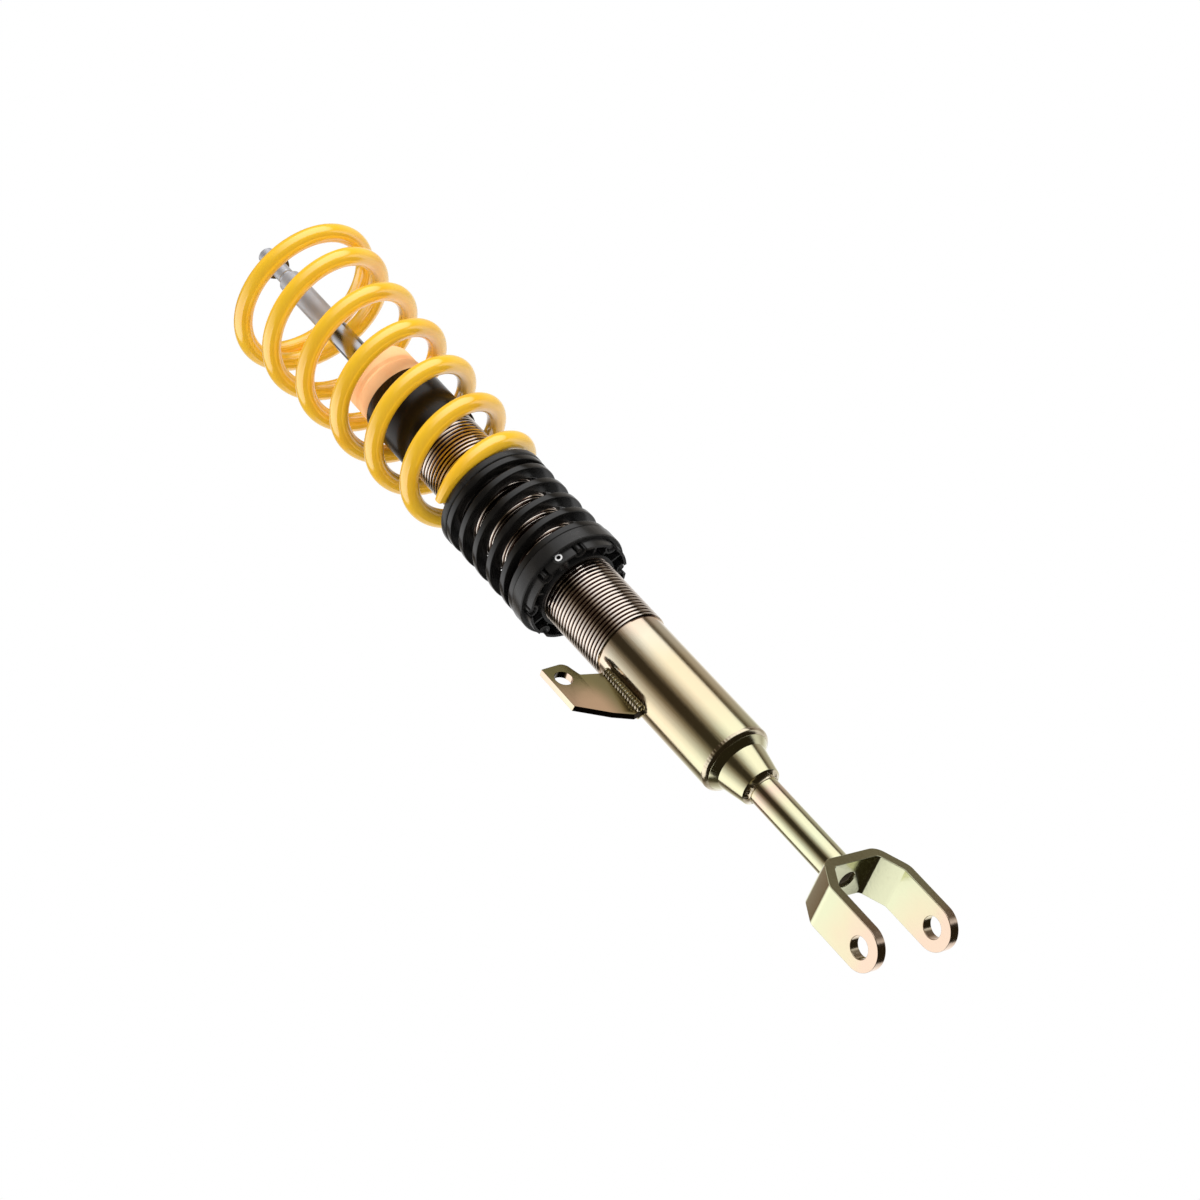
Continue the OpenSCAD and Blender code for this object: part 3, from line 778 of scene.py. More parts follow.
def coat(made: bpy.types.Object, slot: Slot) -> None:
    """Gives an object its finish."""
    made.data.materials.clear()
    made.data.materials.append(slot.value.material())


def dress(made: bpy.types.Object, slot: Slot, body: str, node: str) -> None:
    """Gives a piece its finish and its body, and hides the solid it stands for.

    Args:
        made: The piece.
        slot: Its finish.
        body: The body it moves with.
        node: The solid that it replaces.
    """
    coat(made, slot)
    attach(made, body)
    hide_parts(node)
    LOG.info("%s on %s, %d faces", made.name, body, len(made.data.polygons))


def ease(node: str, name: str, width: float, slot: Slot, body: str) -> None:
    """Puts a copy with rounded edges in a solid's place.

    Args:
        node: The solid's name.
        name: The copy's name.
        width: Width of the rounding, in mm.
        slot: The copy's finish.
        body: The body it moves with.
    """
    made = linked(name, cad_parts[node].data.copy())
    with edited(made) as work:
        bmesh.ops.remove_doubles(work, verts=work.verts, dist=SAME_POINT)
        bmesh.ops.dissolve_limit(work, angle_limit=math.radians(0.6), verts=work.verts,
                                 edges=work.edges)
    made.data.materials.clear()
    shade(made, 40)
    bevel = made.modifiers.new("eased_edges", "BEVEL")
    bevel.width, bevel.segments = width * MM, 2
    bevel.limit_method, bevel.angle_limit = "ANGLE", math.radians(32)
    bevel.use_clamp_overlap = bevel.harden_normals = True
    dress(settle(made), slot, body, node)


def keep_solid(node: str, slot: Slot) -> None:
    """Leaves a solid as it is and gives it its finish."""
    coat(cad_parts[node], slot)
    LOG.info("%s kept", node)


# ---------------------------------------------------------------- geometry trees


class ShapeTree:
    """A Geometry Nodes tree with named inputs, run once on a new object."""

    def __init__(self, name: str) -> None:
        """Starts a tree with a geometry input and output."""
        self.tree = bpy.data.node_groups.new(name, "GeometryNodeTree")
        self.board = Board(self.tree)
        for way in ("INPUT", "OUTPUT"):
            self.tree.interface.new_socket("Geometry", in_out=way,
                                           socket_type="NodeSocketGeometry")
        self.values: dict[str, object] = {}
        self.entry = self.tree.nodes.new("NodeGroupInput")

    def size(self, name: str, value: Union[float, int]) -> Wire:
        """Adds a named input.

        Args:
            name: The input's name.
            value: Its value; a whole number makes a whole-number input.

        Returns:
            Its wire.
        """
        kind = "NodeSocketInt" if isinstance(value, int) else "NodeSocketFloat"
        socket = self.tree.interface.new_socket(name, in_out="INPUT", socket_type=kind)
        self.values[socket.identifier] = value
        return Wire(self.board, self.entry.outputs[name])

    def sizes(self, **values: Union[float, int]) -> list[Wire]:
        """Adds an input for each value and returns their wires."""
        return [self.size(name.replace("_", " ").capitalize(), value)
                for name, value in values.items()]

    def lengths(self, **values: float) -> list[Wire]:
        """The same for lengths in mm."""
        return self.sizes(**{name: value * MM for name, value in values.items()})

    def run(self, name: str, shape: Wire, slot: Slot,
            start: Optional[bpy.types.Object] = None) -> bpy.types.Object:
        """Ends the tree, runs it and keeps its result as a plain mesh.

        Args:
            name: The piece's name.
            shape: The finished geometry.
            slot: Its finish.
            start: An object whose mesh enters the tree, or none.

        Returns:
            The piece.
        """
        socket = self.tree.interface.new_socket(
            "Finish", in_out="INPUT", socket_type="NodeSocketMaterial")
        self.values[socket.identifier] = slot.value.material()
        real = self.board.add("GeometryNodeRealizeInstances", {"Geometry": shape})
        final = self.board.node("GeometryNodeSetMaterial", {"Geometry": real})
        self.tree.links.new(self.entry.outputs["Finish"], final.inputs["Material"])
        leave = self.tree.nodes.new("NodeGroupOutput")
        self.tree.links.new(final.outputs[0], leave.inputs[0])
        made = start or linked(name, bpy.data.meshes.new(name))
        modifier = made.modifiers.new(name, "NODES")
        modifier.node_group = self.tree
        for identifier, value in self.values.items():
            modifier[identifier] = value
        return settle(made)


@dataclass
class CoilSpring:
    """A wound spring whose wire follows one rule from tip to tip.

    Attributes:
        name: The piece's name.
        slot: Its finish.
        body: The body it moves with.
        node: The solid it replaces.
        joint: The joint that shortens it. Not used.
        keep: Share of its height that is left at that joint's limit. Not used.
        seat: Height of its lower seat. Not used.
        start: Direction of its lower tip, in degrees.
        curls: Number of curls.
        radii: Mean radius of the lowest and of the top curl.
        flare: How much faster the lower curls widen.
        first: Height of the wire's centre at the lower tip.
        pitches: Rise of a curl before, between and after the rule's two steps.
        steps: Curls at which the two steps start.
        ramp: Curls that a step takes.
        wire: Width, height and corner rounding of the wire.
        ground: Height below which the wire is ground away.
    """

    name: str
    slot: Slot
    body: str
    node: str
    joint: str
    keep: float
    seat: float
    start: float
    curls: float
    radii: Pair
    flare: float
    first: float
    pitches: tuple[float, float, float]
    steps: Pair
    ramp: float
    wire: tuple[float, float, float]
    ground: float

    def _area(self, board: Board, turn: Value, start: Wire, width: Wire) -> Wire:
        """Area under a smooth step that begins at start and takes width."""
        x = board.clamp((turn - start) / width)
        return width * (x ** 3 - x ** 4 * 0.5) + board.math("MAXIMUM", turn - start - width, 0.0)

    def build(self) -> None:
        """Winds the wire and dresses the spring."""
        shape = ShapeTree(self.name)
        board = shape.board
        curls, flare, ramp, start, *steps = shape.sizes(
            curls=self.curls, flare=self.flare, ramp=self.ramp,
            start_angle=math.radians(self.start), rise_at=self.steps[0], fall_at=self.steps[1])
        low, top, first, ground, *pitches = shape.lengths(
            low_radius=self.radii[0], top_radius=self.radii[1], first_height=self.first,
            ground_at=self.ground, low_pitch=self.pitches[0], free_pitch=self.pitches[1],
            end_pitch=self.pitches[2])

        line = board.add("GeometryNodeCurvePrimitiveLine")
        line = board.add("GeometryNodeResampleCurve",
                         {"Curve": line, "Count": int(self.curls * 72)})
        share = board.add("GeometryNodeSplineParameter")
        turn = share * curls
        radius = low + (top - low) * (flare * share - (flare - 1.0) * share * share)
        height = first + pitches[0] * turn
        for at, before, after in zip(steps, pitches, pitches[1:]):
            height = height + (after - before) * self._area(board, turn, at, ramp)
        base = self._area(board, turn * 0.0, steps[0], ramp)
        height = height - (pitches[1] - pitches[0]) * base
        path = board.moved(line, board.spun(radius, start + turn * FULL_TURN, height))
        path = board.add("GeometryNodeSetCurveNormal", {"Curve": path}, mode="Z_UP")
        wide, tall, edge = self.wire
        section = rounded([(i * wide / 2, j * tall / 2, edge)
                           for i, j in ((-1, -1), (1, -1), (1, 1), (-1, 1))], 7)
        outline = mesh_object(self.name + "_section", [(x, y, 0) for x, y in section],
                              [tuple(range(len(section)))])
        bpy.context.scene.collection.objects.unlink(outline)
        loop = board.add("GeometryNodeMeshToCurve", {
            "Mesh": board.add("GeometryNodeObjectInfo", {"Object": outline}, "Geometry")})
        skin = board.add("GeometryNodeCurveToMesh",
                         {"Curve": path, "Profile Curve": loop, "Fill Caps": True})
        x, y, z = board.parts(board.add("GeometryNodeInputPosition"))
        skin = board.moved(skin, board.vector(x, y, board.math("MAXIMUM", z, ground)))
        made = shape.run(self.name, skin, self.slot)
        face_out(made)
        shade(made, 40)
        bpy.data.objects.remove(outline)
        dress(made, self.slot, self.body, self.node)
        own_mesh(made)


# ---------------------------------------------------------------- sub-assemblies


@dataclass
class StrutFoot:
    """Fork, stub tube and cone.

    Attributes:
        web_z: Top face of the fork's web.
        stub_r: Outside radius of the stub tube.
        bore_r: Its bore.
        cone_z: Lower end of the cone.
        cone_top: Upper end of the cone.
        cone_low_r: Cone's radius at its lower end.
        cone_high_r: Cone's radius at its upper end.
    """

    web_z: float = 58.0
    stub_r: float = 10.25
    bore_r: float = 6.0
    cone_z: float = 136.8
    cone_top: float = 156.0
    cone_low_r: float = 14.2
    cone_high_r: float = 18.2

    def stub(self) -> None:
        """Stub tube and cone, each turned with small roundings."""
        tube = turned("foot_tube", rounded([
            (self.bore_r, self.web_z), (self.stub_r, self.web_z),
            (self.stub_r, self.cone_top), (self.bore_r, self.cone_top)]), 72)
        dress(tube, Slot.GOLD, "housing", "stub_tube")
        inner = self.stub_r + 0.02
        cone = turned("foot_cone", rounded([
            (inner, self.cone_z), (self.cone_low_r, self.cone_z, 0.5),
            (self.cone_high_r, self.cone_top), (inner, self.cone_top)]), 96)
        dress(cone, Slot.GOLD, "housing", "cone_adapter")

    def welds(self) -> None:
        """Ragged bead under the cone and the fillet on the web."""
        r, leg, drop, back = self.stub_r, 3.55, 2.7, 0.2
        # direction, half width and height of each patch of teeth
        patches = ((3.12, 0.85, 2.4), (4.95, 0.55, 1.9))
        highest, low_share = 1.9, 0.25

        def ragged(a: float, r: float, z: float) -> Pair:
            """Uneven teeth along the bright skirt's upper edge, in patches."""
            tall = sum(top * max(0.0, 1.0 - abs(a - middle) / half)
                       for middle, half, top in patches)
            edge = 1.0 if abs(z - self.cone_z + drop) < 0.01 else 0.0
            share = 1.0 if waver(a, 11.0, 9.0) > 0.0 else low_share
            return r, z + edge * min(tall, highest) * share

        bead = turned("cone_bead", [
            (r - back, self.cone_z), (r + leg, self.cone_z), (r + 2.6, self.cone_z - 0.6),
            (r + 0.75, self.cone_z - drop), (r + 0.55, self.cone_z - leg),
            (r - back, self.cone_z - leg)], 240, True, ragged)
        dress(bead, Slot.WELD, "housing", "cone_weld")

        side = 3.0

        def fillet(a: float, r: float, z: float) -> Pair:
            """Ripples of the fillet weld."""
            out, waves = (r - self.stub_r) / side, 34
            return r + 0.18 * out * math.sin(a * waves), z

        weld = turned("web_fillet", [
            (r + out, self.web_z + up) for out, up in (
                (0.0, 0.0), (2.9, 0.0), (2.3, 0.9), (1.3, 1.7), (0.5, 2.6), (0.0, side))],
            204, True, fillet)
        dress(weld, Slot.WELD, "housing", "stub_weld")

    def build(self) -> None:
        """Builds the whole foot; the fork is its solid with eased edges."""
        ease("fork", "fork_plate", 0.55, Slot.GOLD, "housing")
        self.stub()
        self.welds()


@dataclass
class StrutTube:
    """The tube with its smooth part, its thread, its end disc and their weld.

    Attributes:
        radius: Outside radius of the smooth part.
        bore_r: Bore.
        foot: Lower edge.
        thread_z: Start of the thread.
        top: Upper end.
        crest_r: Radius over the thread's crests.
        root_r: Radius of the thread's grooves.
        pitch: Rise of the thread in one turn.
        rows: Mesh rows to one turn of the thread.
        sides: Faces round the tube.
        disc_z: Lower face of the end disc.
        disc_r: Radius of that face.
        bevel_z: Upper end of the disc's bevel.
        disc_top: Upper face of the disc.
    """

    radius: float = 25.0
    bore_r: float = 22.5
    foot: float = 162.0
    thread_z: float = 273.0
    top: float = 500.0
    crest_r: float = 26.25
    root_r: float = 24.8
    pitch: float = 3.0
    rows: int = 5
    sides: int = 96
    disc_z: float = 156.0
    disc_r: float = 18.2
    bevel_z: float = 160.28
    disc_top: float = 169.9

    def tube(self) -> None:
        """Smooth part and bore as a listed outline, thread by its rule, joined to one skin."""
        top_r = self.crest_r - 0.8
        rest = turned("strut_body", rounded([
            (top_r, self.top), (self.bore_r, self.top, 0.6), (self.bore_r, self.foot),
            (self.radius, self.foot + 2.5, 0.8), (self.radius, self.thread_z - 0.4),
            (self.radius, self.thread_z)], 4, False), self.sides, False)
        shape = ShapeTree("strut_thread")
        board = shape.board
        low, high, pitch, crest, root, before, after = shape.lengths(
            start=self.thread_z, end=self.top, pitch=self.pitch, crest=self.crest_r,
            root=self.root_r, body=self.radius, lip=top_r)
        count = math.ceil((self.top - self.thread_z) / self.pitch) + 1
        sides, rows, turns = shape.sizes(
            sides=self.sides + 1, rows=count * self.rows + 1, turns=float(count))
        grid = board.add("GeometryNodeMeshGrid", {
            "Size X": 1.0, "Size Y": 1.0, "Vertices X": sides, "Vertices Y": rows})
        spot = board.parts(board.add("GeometryNodeInputPosition"))
        around, along = spot[0] + 0.5, (spot[1] + 0.5) * turns
        raw = low + pitch * (along + around - 1.0)
        phase = board.math("FRACT", along + 0.0001)
        away = board.math("ABSOLUTE", phase - 0.5)
        wave = board.clamp((away - 0.1) * 5.0) * (away * 0.42 + 0.79)
        radius = root + (crest - root) * wave
        under = board.math("LESS_THAN", raw, low + 0.00001)
        over = board.math("GREATER_THAN", raw, high - 0.00001)
        radius = radius + (before - radius) * under
        radius = radius + (after - radius) * over
        skin = board.moved(grid, board.spun(radius, around * FULL_TURN,
                                            board.clamp(raw, low, high)))
        whole = board.add("GeometryNodeMergeByDistance", {
            "Geometry": board.join((Wire(board, shape.entry.outputs["Geometry"]), skin)),
            "Distance": SAME_POINT})
        made = shape.run("strut_body", whole, Slot.THREAD, rest)
        face_out(made)
        shade(made, 38)
        dress(made, Slot.THREAD, "housing", "strut_tube")

    def end(self) -> None:
        """Plated end disc and the lumpy bead round it."""
        inner = self.bore_r - 0.02
        disc = turned("end_plate", rounded([
            (0.0, self.disc_z), (self.disc_r, self.disc_z, 0.2), (inner, self.bevel_z, 0.4),
            (inner, self.disc_top, 0.5), (0.0, self.disc_top)], 4, False), 96, False)
        dress(disc, Slot.GOLD, "housing", "end_disc")

        def lumps(a: float, r: float, z: float) -> Pair:
            """Soft waves along the bead, with finer ripples round one direction."""
            middle, ripples = 3.6, 66
            wave = waver(a, 4.0, 3.0)
            part = min(1.0, max(0.0, 1.6 - abs(a - middle) * 2.2))
            fine = math.sin(a * ripples + 3.0 * wave) * part
            out = max(0.0, (r - 23.0) / 2.1)
            return r + (0.10 * wave + 0.055 * fine - 0.1) * out, z + 0.12 * wave * out

        bead = turned("rim_bead", [
            (22.5, 160.3), (23.3, 160.9), (24.2, 161.6), (24.85, 162.4), (25.12, 163.2),
            (25.14, 164.0), (25.08, 164.6), (25.0, 165.0), (24.2, 164.1), (22.5, 162.0)],
            264, True, lumps)
        dress(bead, Slot.WELD, "housing", "tube_weld")

    def build(self) -> None:
        """Builds the tube."""
        self.tube()
        self.end()


@dataclass
class LinkBracket:
    """The bent side bracket and its two beads.

    Attributes:
        angle: Direction in which it leaves the tube, in degrees.
        foot: Its lower end.
        height: Length of its root.
        thick: Plate thickness.
        ripple: Distance between the bead's ripples.
        bead_r: Radius of a ripple.
        flat: Height of a ripple as a share of its width.
        lean: How far a ripple leans outwards, in degrees.
        bead_x: Distance of the beads from the strut axis.
        beside: Distance of their middle from the plate's faces.
        first: Height of the lowest ripple over the bracket's lower end.
    """

    angle: float = 159.0
    foot: float = 226.5
    height: float = 39.5
    thick: float = 5.0
    ripple: float = 2.6
    bead_r: float = 2.8
    flat: float = 0.52
    lean: float = 16.0
    bead_x: float = 25.6
    beside: float = 0.7
    first: float = 1.6

    def beads(self) -> None:
        """Overlapping weld ripples up both sides of the root."""
        shape = ShapeTree("bracket_beads")
        board = shape.board
        pitch, radius = shape.lengths(ripple=self.ripple, bead_radius=self.bead_r)
        count, lean = shape.sizes(ripples=int(self.height / self.ripple),
                                  lean=math.radians(self.lean))
        rows = []
        for side, seed in ((self.beside, 5), (-self.thick - self.beside, 9)):
            start = (self.bead_x * MM, side * MM, (self.foot + self.first) * MM)
            line = board.add("GeometryNodeMeshLine", {
                "Count": count, "Start Location": start, "Offset": board.vector(0.0, 0.0, pitch)})
            ball = board.add("GeometryNodeMeshUVSphere",
                             {"Segments": 28, "Rings": 12, "Radius": radius})
            ball = board.add("GeometryNodeTransform",
                             {"Geometry": ball, "Scale": (1.0, 1.0, self.flat)})
            ball = board.add("GeometryNodeTransform",
                             {"Geometry": ball, "Rotation": board.vector(0.0, lean, 0.0)})
            size = board.add("FunctionNodeRandomValue", {2: 0.93, 3: 1.04, "Seed": seed}, 1,
                             data_type="FLOAT")
            rows.append(board.add("GeometryNodeInstanceOnPoints",
                                  {"Points": line, "Instance": ball, "Scale": size}))
        turned_in = board.add("GeometryNodeTransform", {
            "Geometry": board.join(rows), "Rotation": (0.0, 0.0, math.radians(self.angle))})
        made = shape.run("bracket_beads", turned_in, Slot.BEAD)
        shade(made, 50)
        dress(made, Slot.BEAD, "housing", "bracket_weld")

    def build(self) -> None:
        """Builds the bracket; its plate is the solid with eased edges."""
        ease("link_bracket", "bracket_plate", 0.6, Slot.REFLECTION_TINTED, "housing")
        self.beads()


@dataclass
class Damper:
    """Rod, stud and nut, and the parts hidden in the tube.

    Attributes:
        rod_r: Radius of the rod.
        stud_r: Radius of its stud.
        shoulder: Height of the shoulder.
        tip: Height of the stud's end.
        step: Height at which the rod's thin lower end begins.
    """

    rod_r: float = 8.3
    stud_r: float = 5.9
    shoulder: float = 679.4
    tip: float = 711.0
    step: float = 433.7

    def rod(self) -> None:
        """Chromed rod with its chamfer, neck and stud."""
        low, thin, cut = frame_low("piston_rod"), 6.0, 1.3
        neck = self.stud_r - 0.5
        made = turned("chrome_rod", rounded([
            (0.0, low), (thin, low, 0.8), (thin, self.step), (self.rod_r, self.step, 0.4),
            (self.rod_r, self.shoulder - cut, 0.5), (self.rod_r - cut, self.shoulder, 0.3),
            (neck, self.shoulder), (neck, self.shoulder + 3.0, 0.4),
            (self.stud_r, self.shoulder + 3.5), (self.stud_r, self.tip - cut),
            (self.stud_r - cut, self.tip, 0.3), (0.0, self.tip)], 4, False), 72, False)
        dress(made, Slot.CHROME, "rod", "piston_rod")

    def hidden(self) -> None:
        """The solids inside the tube."""
        for node, slot in (
                ("pressure_tube", Slot.DARK), ("base_valve", Slot.DARK), ("rod_guide", Slot.DARK),
                ("guide_bush", Slot.BRONZE), ("rod_seal", Slot.SEAL), ("gland_nut", Slot.DARK),
                ("rebound_stop", Slot.DARK), ("piston", Slot.DARK), ("piston_band", Slot.BAND),
                ("valve_shims", Slot.BRIGHT), ("piston_nut", Slot.DARK)):
            keep_solid(node, slot)

    def build(self) -> None:
        """Builds the damper; its nut is the solid with eased edges."""
        self.rod()
        ease("stud_nut", "top_nut", 0.35, Slot.NUT, "rod")
        self.hidden()


def frame_low(node: str) -> float:
    """Lowest height of a solid, in mm."""
    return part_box(node)[0].z / MM


@dataclass
class BumpStop:
    """Foam bump stop with its dust boot.

    Attributes:
        foot: Lower edge of the boot.
        boot_top: Its upper edge.
        boot_r: Its outside radius.
        boot_in: Its inside radius.
        stop_r: Radius of the stop.
        stop_z: Lower end of the stop.
        stop_top: Its upper end.
        groove: Height of its groove.
    """

    foot: float = 490.0
    boot_top: float = 538.5
    boot_r: float = 27.9
    boot_in: float = 26.55
    stop_r: float = 25.8
    stop_z: float = 502.3
    stop_top: float = 569.5
    groove: float = 552.0

    def boot(self) -> None:
        """Rubber sleeve with soft lips."""
        grip = self.stop_r - 1.98
        made = turned("rubber_boot", rounded([
            (self.boot_in, self.foot, 0.4), (self.boot_r, self.foot, 0.9),
            (self.boot_r, self.boot_top, 1.6), (grip, self.boot_top, 0.4),
            (grip, self.boot_top - 4.0, 0.4), (self.boot_in, self.boot_top - 5.0, 0.4)]), 96)
        dress(made, Slot.BOOT, "stop", "dust_boot")

    def stop(self) -> None:
        """Foam body with one groove and a rounded top."""
        r, bore = self.stop_r, 8.6
        made = turned("foam_stop", rounded([
            (bore, self.stop_z, 0.8), (r - 2.0, self.stop_z, 1.0), (r - 2.0, self.boot_top - 0.4),
            (r, self.boot_top + 0.2, 0.8), (r, self.groove - 2.6, 1.2),
            (r - 1.7, self.groove, 0.9), (r - 0.4, self.groove + 2.4, 1.4),
            (r - 0.5, self.stop_top, 6.2), (bore, self.stop_top, 1.5)], 6), 96)
        dress(made, Slot.FOAM, "stop", "bump_stop")

    def build(self) -> None:
        """Builds stop and boot."""
        self.boot()
        self.stop()


@dataclass
class SpringSeats:
    """Perch, lock screw and coupler.

    Attributes:
        coupler_z: Lower face of the coupler.
        seat: Upper face of the coupler.
        coupler_r: Its outside radius.
        collar_r: Inside radius of its collar.
    """

    coupler_z: float = 424.4
    seat: float = 430.5
    coupler_r: float = 40.0
    collar_r: float = 26.55

    def coupler(self) -> None:
        """Coupler ring with a rounded rim."""
        wall, tall = self.collar_r + 1.3, 5.0
        made = turned("coupler_ring", rounded([
            (self.collar_r, self.coupler_z - tall, 0.3), (wall, self.coupler_z - tall, 0.3),
            (wall, self.coupler_z, 0.4), (self.coupler_r, self.coupler_z, 1.4),
            (self.coupler_r, self.seat, 1.4), (wall, self.seat, 0.4),
            (wall, self.seat + tall, 0.3), (self.collar_r, self.seat + tall, 0.3)]), 120)
        dress(made, Slot.PERCH, "coupler", "spring_coupler")

    def build(self) -> None:
        """Builds the seats; the perch is its solid with eased edges."""
        ease("perch_ring", "perch_body", 0.35, Slot.PERCH, "perch")
        keep_solid("lock_screw", Slot.SCREW)
        self.coupler()


def springs() -> list[CoilSpring]:
    """The helper and the main spring, with their rules."""
    low, top, gap = 348.0, 430.5, 0.02
    height, wire, curls, flat, ramp = 76.4, 5.0, 5.84, 0.64, 0.5
    main_curls, main_wire = 6.765, 12.9
    return [
        CoilSpring(
            name="black_helper", slot=Slot.HELPER, body="spring_carrier", node="helper_spring",
            joint="helper_squeeze", keep=0.476, seat=low, start=60.0, curls=curls,
            radii=(35.2, 35.2), flare=1.0, first=low + gap + wire / 2,
            pitches=(0.0, (height - wire - 2 * gap) / (curls - 2 * flat), 0.0),
            steps=(flat - ramp / 2, curls - flat - ramp / 2), ramp=ramp,
            wire=(9.0, wire, 0.8), ground=low + gap),
        CoilSpring(
            name="yellow_spring", slot=Slot.YELLOW, body="coupler", node="main_spring",
            joint="rod_slide", keep=0.61, seat=top, start=180.0, curls=main_curls,
            radii=(38.0, 52.3), flare=1.26, first=top + 1.9, pitches=(17.0, 39.06, 13.02),
            steps=(-0.249, main_curls - 1.36), ramp=0.7, wire=(main_wire, main_wire, 6.449),
            ground=top + gap),
    ]


# ---------------------------------------------------------------- studio


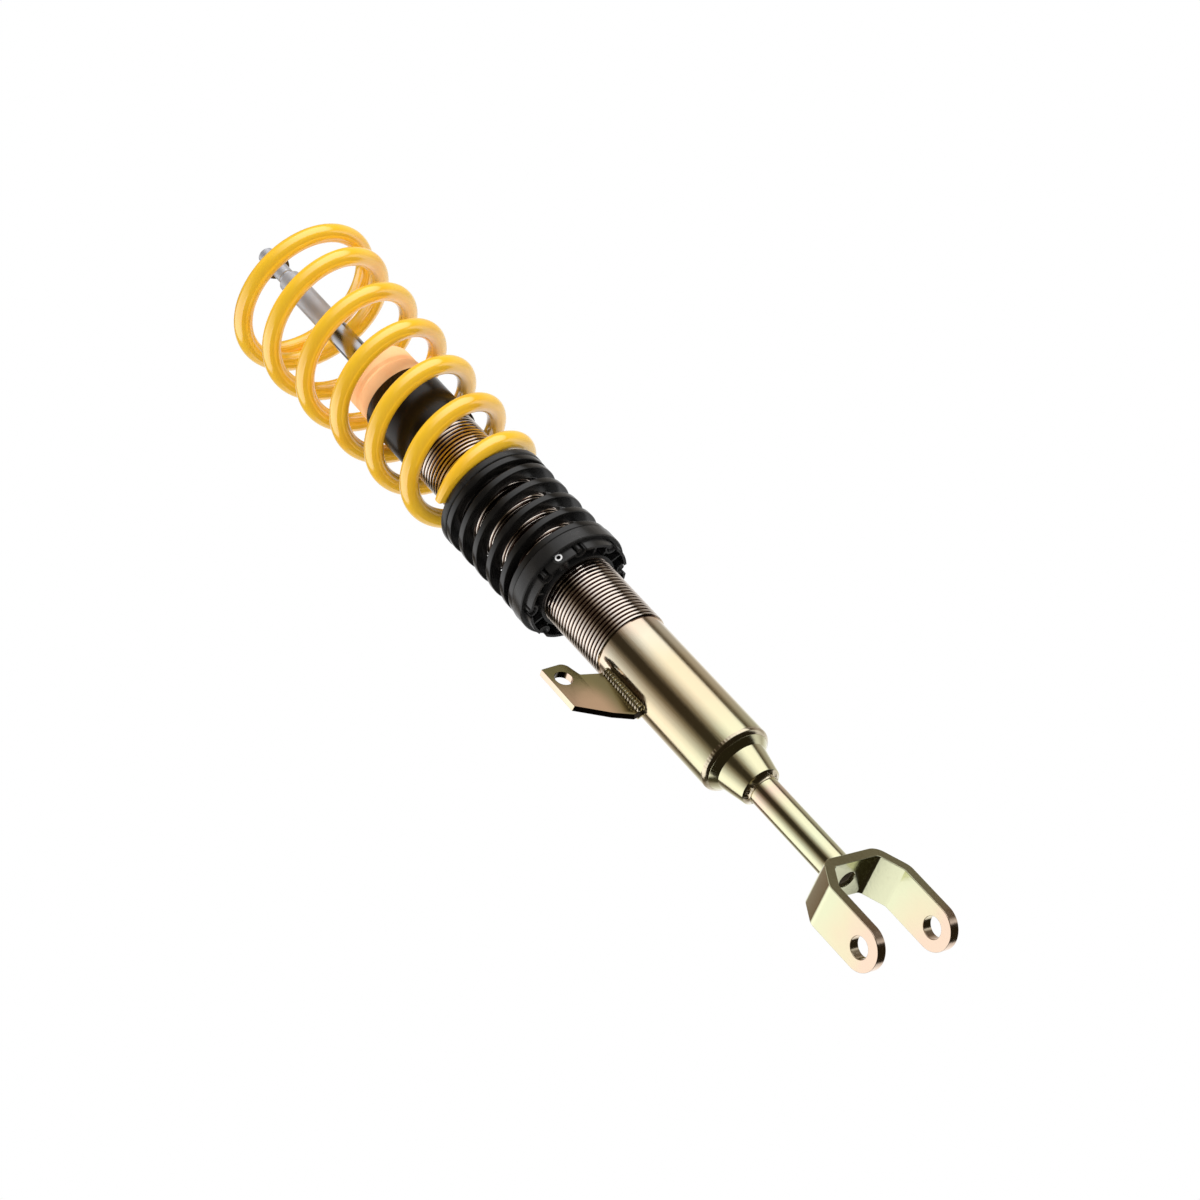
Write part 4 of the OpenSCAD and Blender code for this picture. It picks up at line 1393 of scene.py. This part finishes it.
@dataclass
class Studio:
    """Camera, lamps, floor and the soft boxes and drapes that the metal mirrors.

    Attributes:
        lens: Focal length, in mm.
        camera: Camera's place, in metres.
        view: Camera's axes to the right, up and backwards.
        floor_z: Height of the floor, in metres.
        middle: Point that the lamps aim at, in metres.
        tent_r: Radius of the mirrored studio, in metres.
        sky: Strength of the even light.
        tones: Tone of the mirrored walls, as (direction in degrees, level).
        low_tones: Tone of the walls' lower part.
        lamps: Each lamp's name, direction, rise (both in degrees), size and power.
    """

    lens: float = 108.0
    camera: Point = (-1.5060, -1.2312, -0.9068)
    view: tuple[Point, ...] = ((0.74261, -0.33879, -0.57771), (0.12829, -0.77468, 0.61920),
                               (-0.65732, -0.53394, -0.53182))
    floor_z: float = -1.6
    middle: Point = (0.0, 0.0, 0.36)
    tent_r: float = 9.0
    sky: float = 0.68
    tones: tuple[Pair, ...] = (
        (0, 0.46), (15, 0.78), (32, 1.0), (52, 1.0), (64, 0.75), (76, 0.45), (90, 0.20),
        (97, 0.05), (103, 0.12), (108, 1.15), (128, 1.25), (145, 1.05), (158, 0.72), (171, 0.45),
        (183, 0.20), (195, 0.035), (218, 0.035), (231, 0.28), (243, 0.66), (255, 0.98),
        (268, 1.18), (302, 1.15), (308, 0.8), (313, 0.06), (320, 0.12), (338, 0.40), (360, 0.46))
    low_tones: tuple[Pair, ...] = (
        (0, 0.72), (60, 0.74), (80, 0.50), (88, 0.05), (104, 0.05), (109, 0.95), (150, 1.05),
        (163, 0.80), (172, 0.05), (300, 0.022), (310, 0.08), (322, 0.64), (360, 0.72))
    lamps: tuple[tuple, ...] = (
        ("lamp_top", 280.0, 34.0, 1.8, 80.0), ("lamp_left", 140.0, 25.0, 1.4, 38.0))

    def set_camera(self) -> None:
        """Places the camera."""
        data = bpy.data.cameras.new("camera")
        data.lens, data.sensor_width = self.lens, 36.0
        data.clip_start, data.clip_end = 0.05, 60.0
        made = linked("camera", data)
        columns = [(*axis, 0.0) for axis in self.view] + [(*self.camera, 1.0)]
        made.matrix_world = Matrix(columns).transposed()
        bpy.context.scene.camera = made

    def set_world(self) -> None:
        """White all round, with a plainer level where it only lights."""
        world = bpy.data.worlds.new("studio_world")
        bpy.context.scene.world = world
        board = emptied(world)
        camera, glossy, through = (
            board.add("ShaderNodeLightPath", output="Is %s Ray" % kind)
            for kind in ("Camera", "Glossy", "Transmission"))
        seen = board.math("MAXIMUM", camera, board.math("MAXIMUM", glossy, through))
        soft, white = (
            board.add("ShaderNodeBackground", {"Color": tone, "Strength": power})
            for tone, power in (((1.0, 0.99, 0.97, 1.0), self.sky), ((1.0, 1.0, 1.0, 1.0), 1.0)))
        both = board.add("ShaderNodeMixShader", {0: seen, 1: soft, 2: white})
        board.node("ShaderNodeOutputWorld", {"Surface": both})

    def set_floor(self) -> None:
        """Pale floor that fades into the white surroundings."""
        radius, sides = 6.0, 64
        ring = [(radius * math.cos(a), radius * math.sin(a), self.floor_z)
                for a in (FULL_TURN * k / sides for k in range(sides))]
        mesh = bpy.data.meshes.new("floor")
        mesh.from_pydata(ring, [], [tuple(range(sides))])
        made = linked("floor", mesh)
        paint = bpy.data.materials.new("floor_paint")
        board = emptied(paint)
        matte = board.add("ShaderNodeBsdfDiffuse", {"Color": (0.95, 0.95, 0.95, 1.0)})
        white = board.add("ShaderNodeEmission", {"Strength": 1.0})
        both = board.add("ShaderNodeMixShader",
                         {0: board.step(board.radius(), 0.6, 2.2), 1: matte, 2: white})
        board.node("ShaderNodeOutputMaterial", {"Surface": both})
        mesh.materials.append(paint)
        made.visible_glossy = False

    @staticmethod
    def warm(level: float, red: float) -> Colour:
        """Gives a grey level the brown cast of a dim wall; red says how reddish it is."""
        dim = 1.0 - min(1.0, level / 0.45)
        return (level, level * (1.0 - red * dim), level * (1.0 - 0.55 * dim))

    def set_tent(self) -> None:
        """Soft boxes and dark drapes round the strut, which only polished faces mirror."""
        radius, rings = self.tent_r / MM, 32
        arc = [math.pi * k / rings for k in range(rings + 1)]
        made = turned("studio_tent", [(radius * math.sin(a), -radius * math.cos(a)) for a in arc],
                      64, False)
        made.location = self.middle
        for side in ("camera", "diffuse", "transmission", "volume_scatter", "shadow"):
            setattr(made, "visible_" + side, False)
        paint = bpy.data.materials.new("tent_cloth")
        board = emptied(paint)
        x, y, z = board.parts()
        around = board.math("ARCTAN2", y, x) / FULL_TURN
        around = board.math("FRACT", around + 1.0)
        power = 1.3
        level, under = (
            board.add("ShaderNodeValToRGB", {"Fac": around},
                      stops=[(a / 360.0, self.warm(t / power, red)) for a, t in ring])
            for ring, red in ((self.tones, 0.25), (self.low_tones, 0.12)))
        height = z / self.tent_r
        tone = board.mix(board.step(height, 0.70, 0.86), level, (0.13, 0.075, 0.055))
        tone = board.mix(board.step(height, -0.15, -0.40), tone, under)
        tone = board.mix(board.step(height, -0.46, -0.56), tone, (0.014, 0.011, 0.006))
        glow = board.add("ShaderNodeEmission", {"Color": tone, "Strength": power})
        board.node("ShaderNodeOutputMaterial", {"Surface": glow})
        made.data.materials.append(paint)

    def set_lamps(self) -> None:
        """Two soft lamps, above and to the left."""
        away = 3.2
        for name, angle, rise, size, power in self.lamps:
            data = bpy.data.lights.new(name, "AREA")
            data.shape, data.size, data.energy = "DISK", size, power
            made = linked(name, data)
            a, e = math.radians(angle), math.radians(rise)
            out = Vector((math.cos(a) * math.cos(e), math.sin(a) * math.cos(e), math.sin(e)))
            made.location = Vector(self.middle) + out * away
            made.rotation_mode = "QUATERNION"
            made.rotation_quaternion = out.to_track_quat("Z", "Y")
            made.visible_camera = False
            made.visible_glossy = False

    def build(self) -> None:
        """Builds the studio."""
        bpy.context.scene.view_settings.view_transform = "Standard"
        self.set_camera()
        self.set_world()
        self.set_floor()
        self.set_tent()
        self.set_lamps()


def main() -> None:
    """Builds every sub-assembly, then the studio."""
    logging.basicConfig(level=logging.INFO, format="%(name)s: %(message)s")
    for part in (StrutFoot(), StrutTube(), LinkBracket(), Damper(), BumpStop(), SpringSeats(),
                 *springs(), Studio()):
        part.build()


if __name__ == "__main__":
    main()
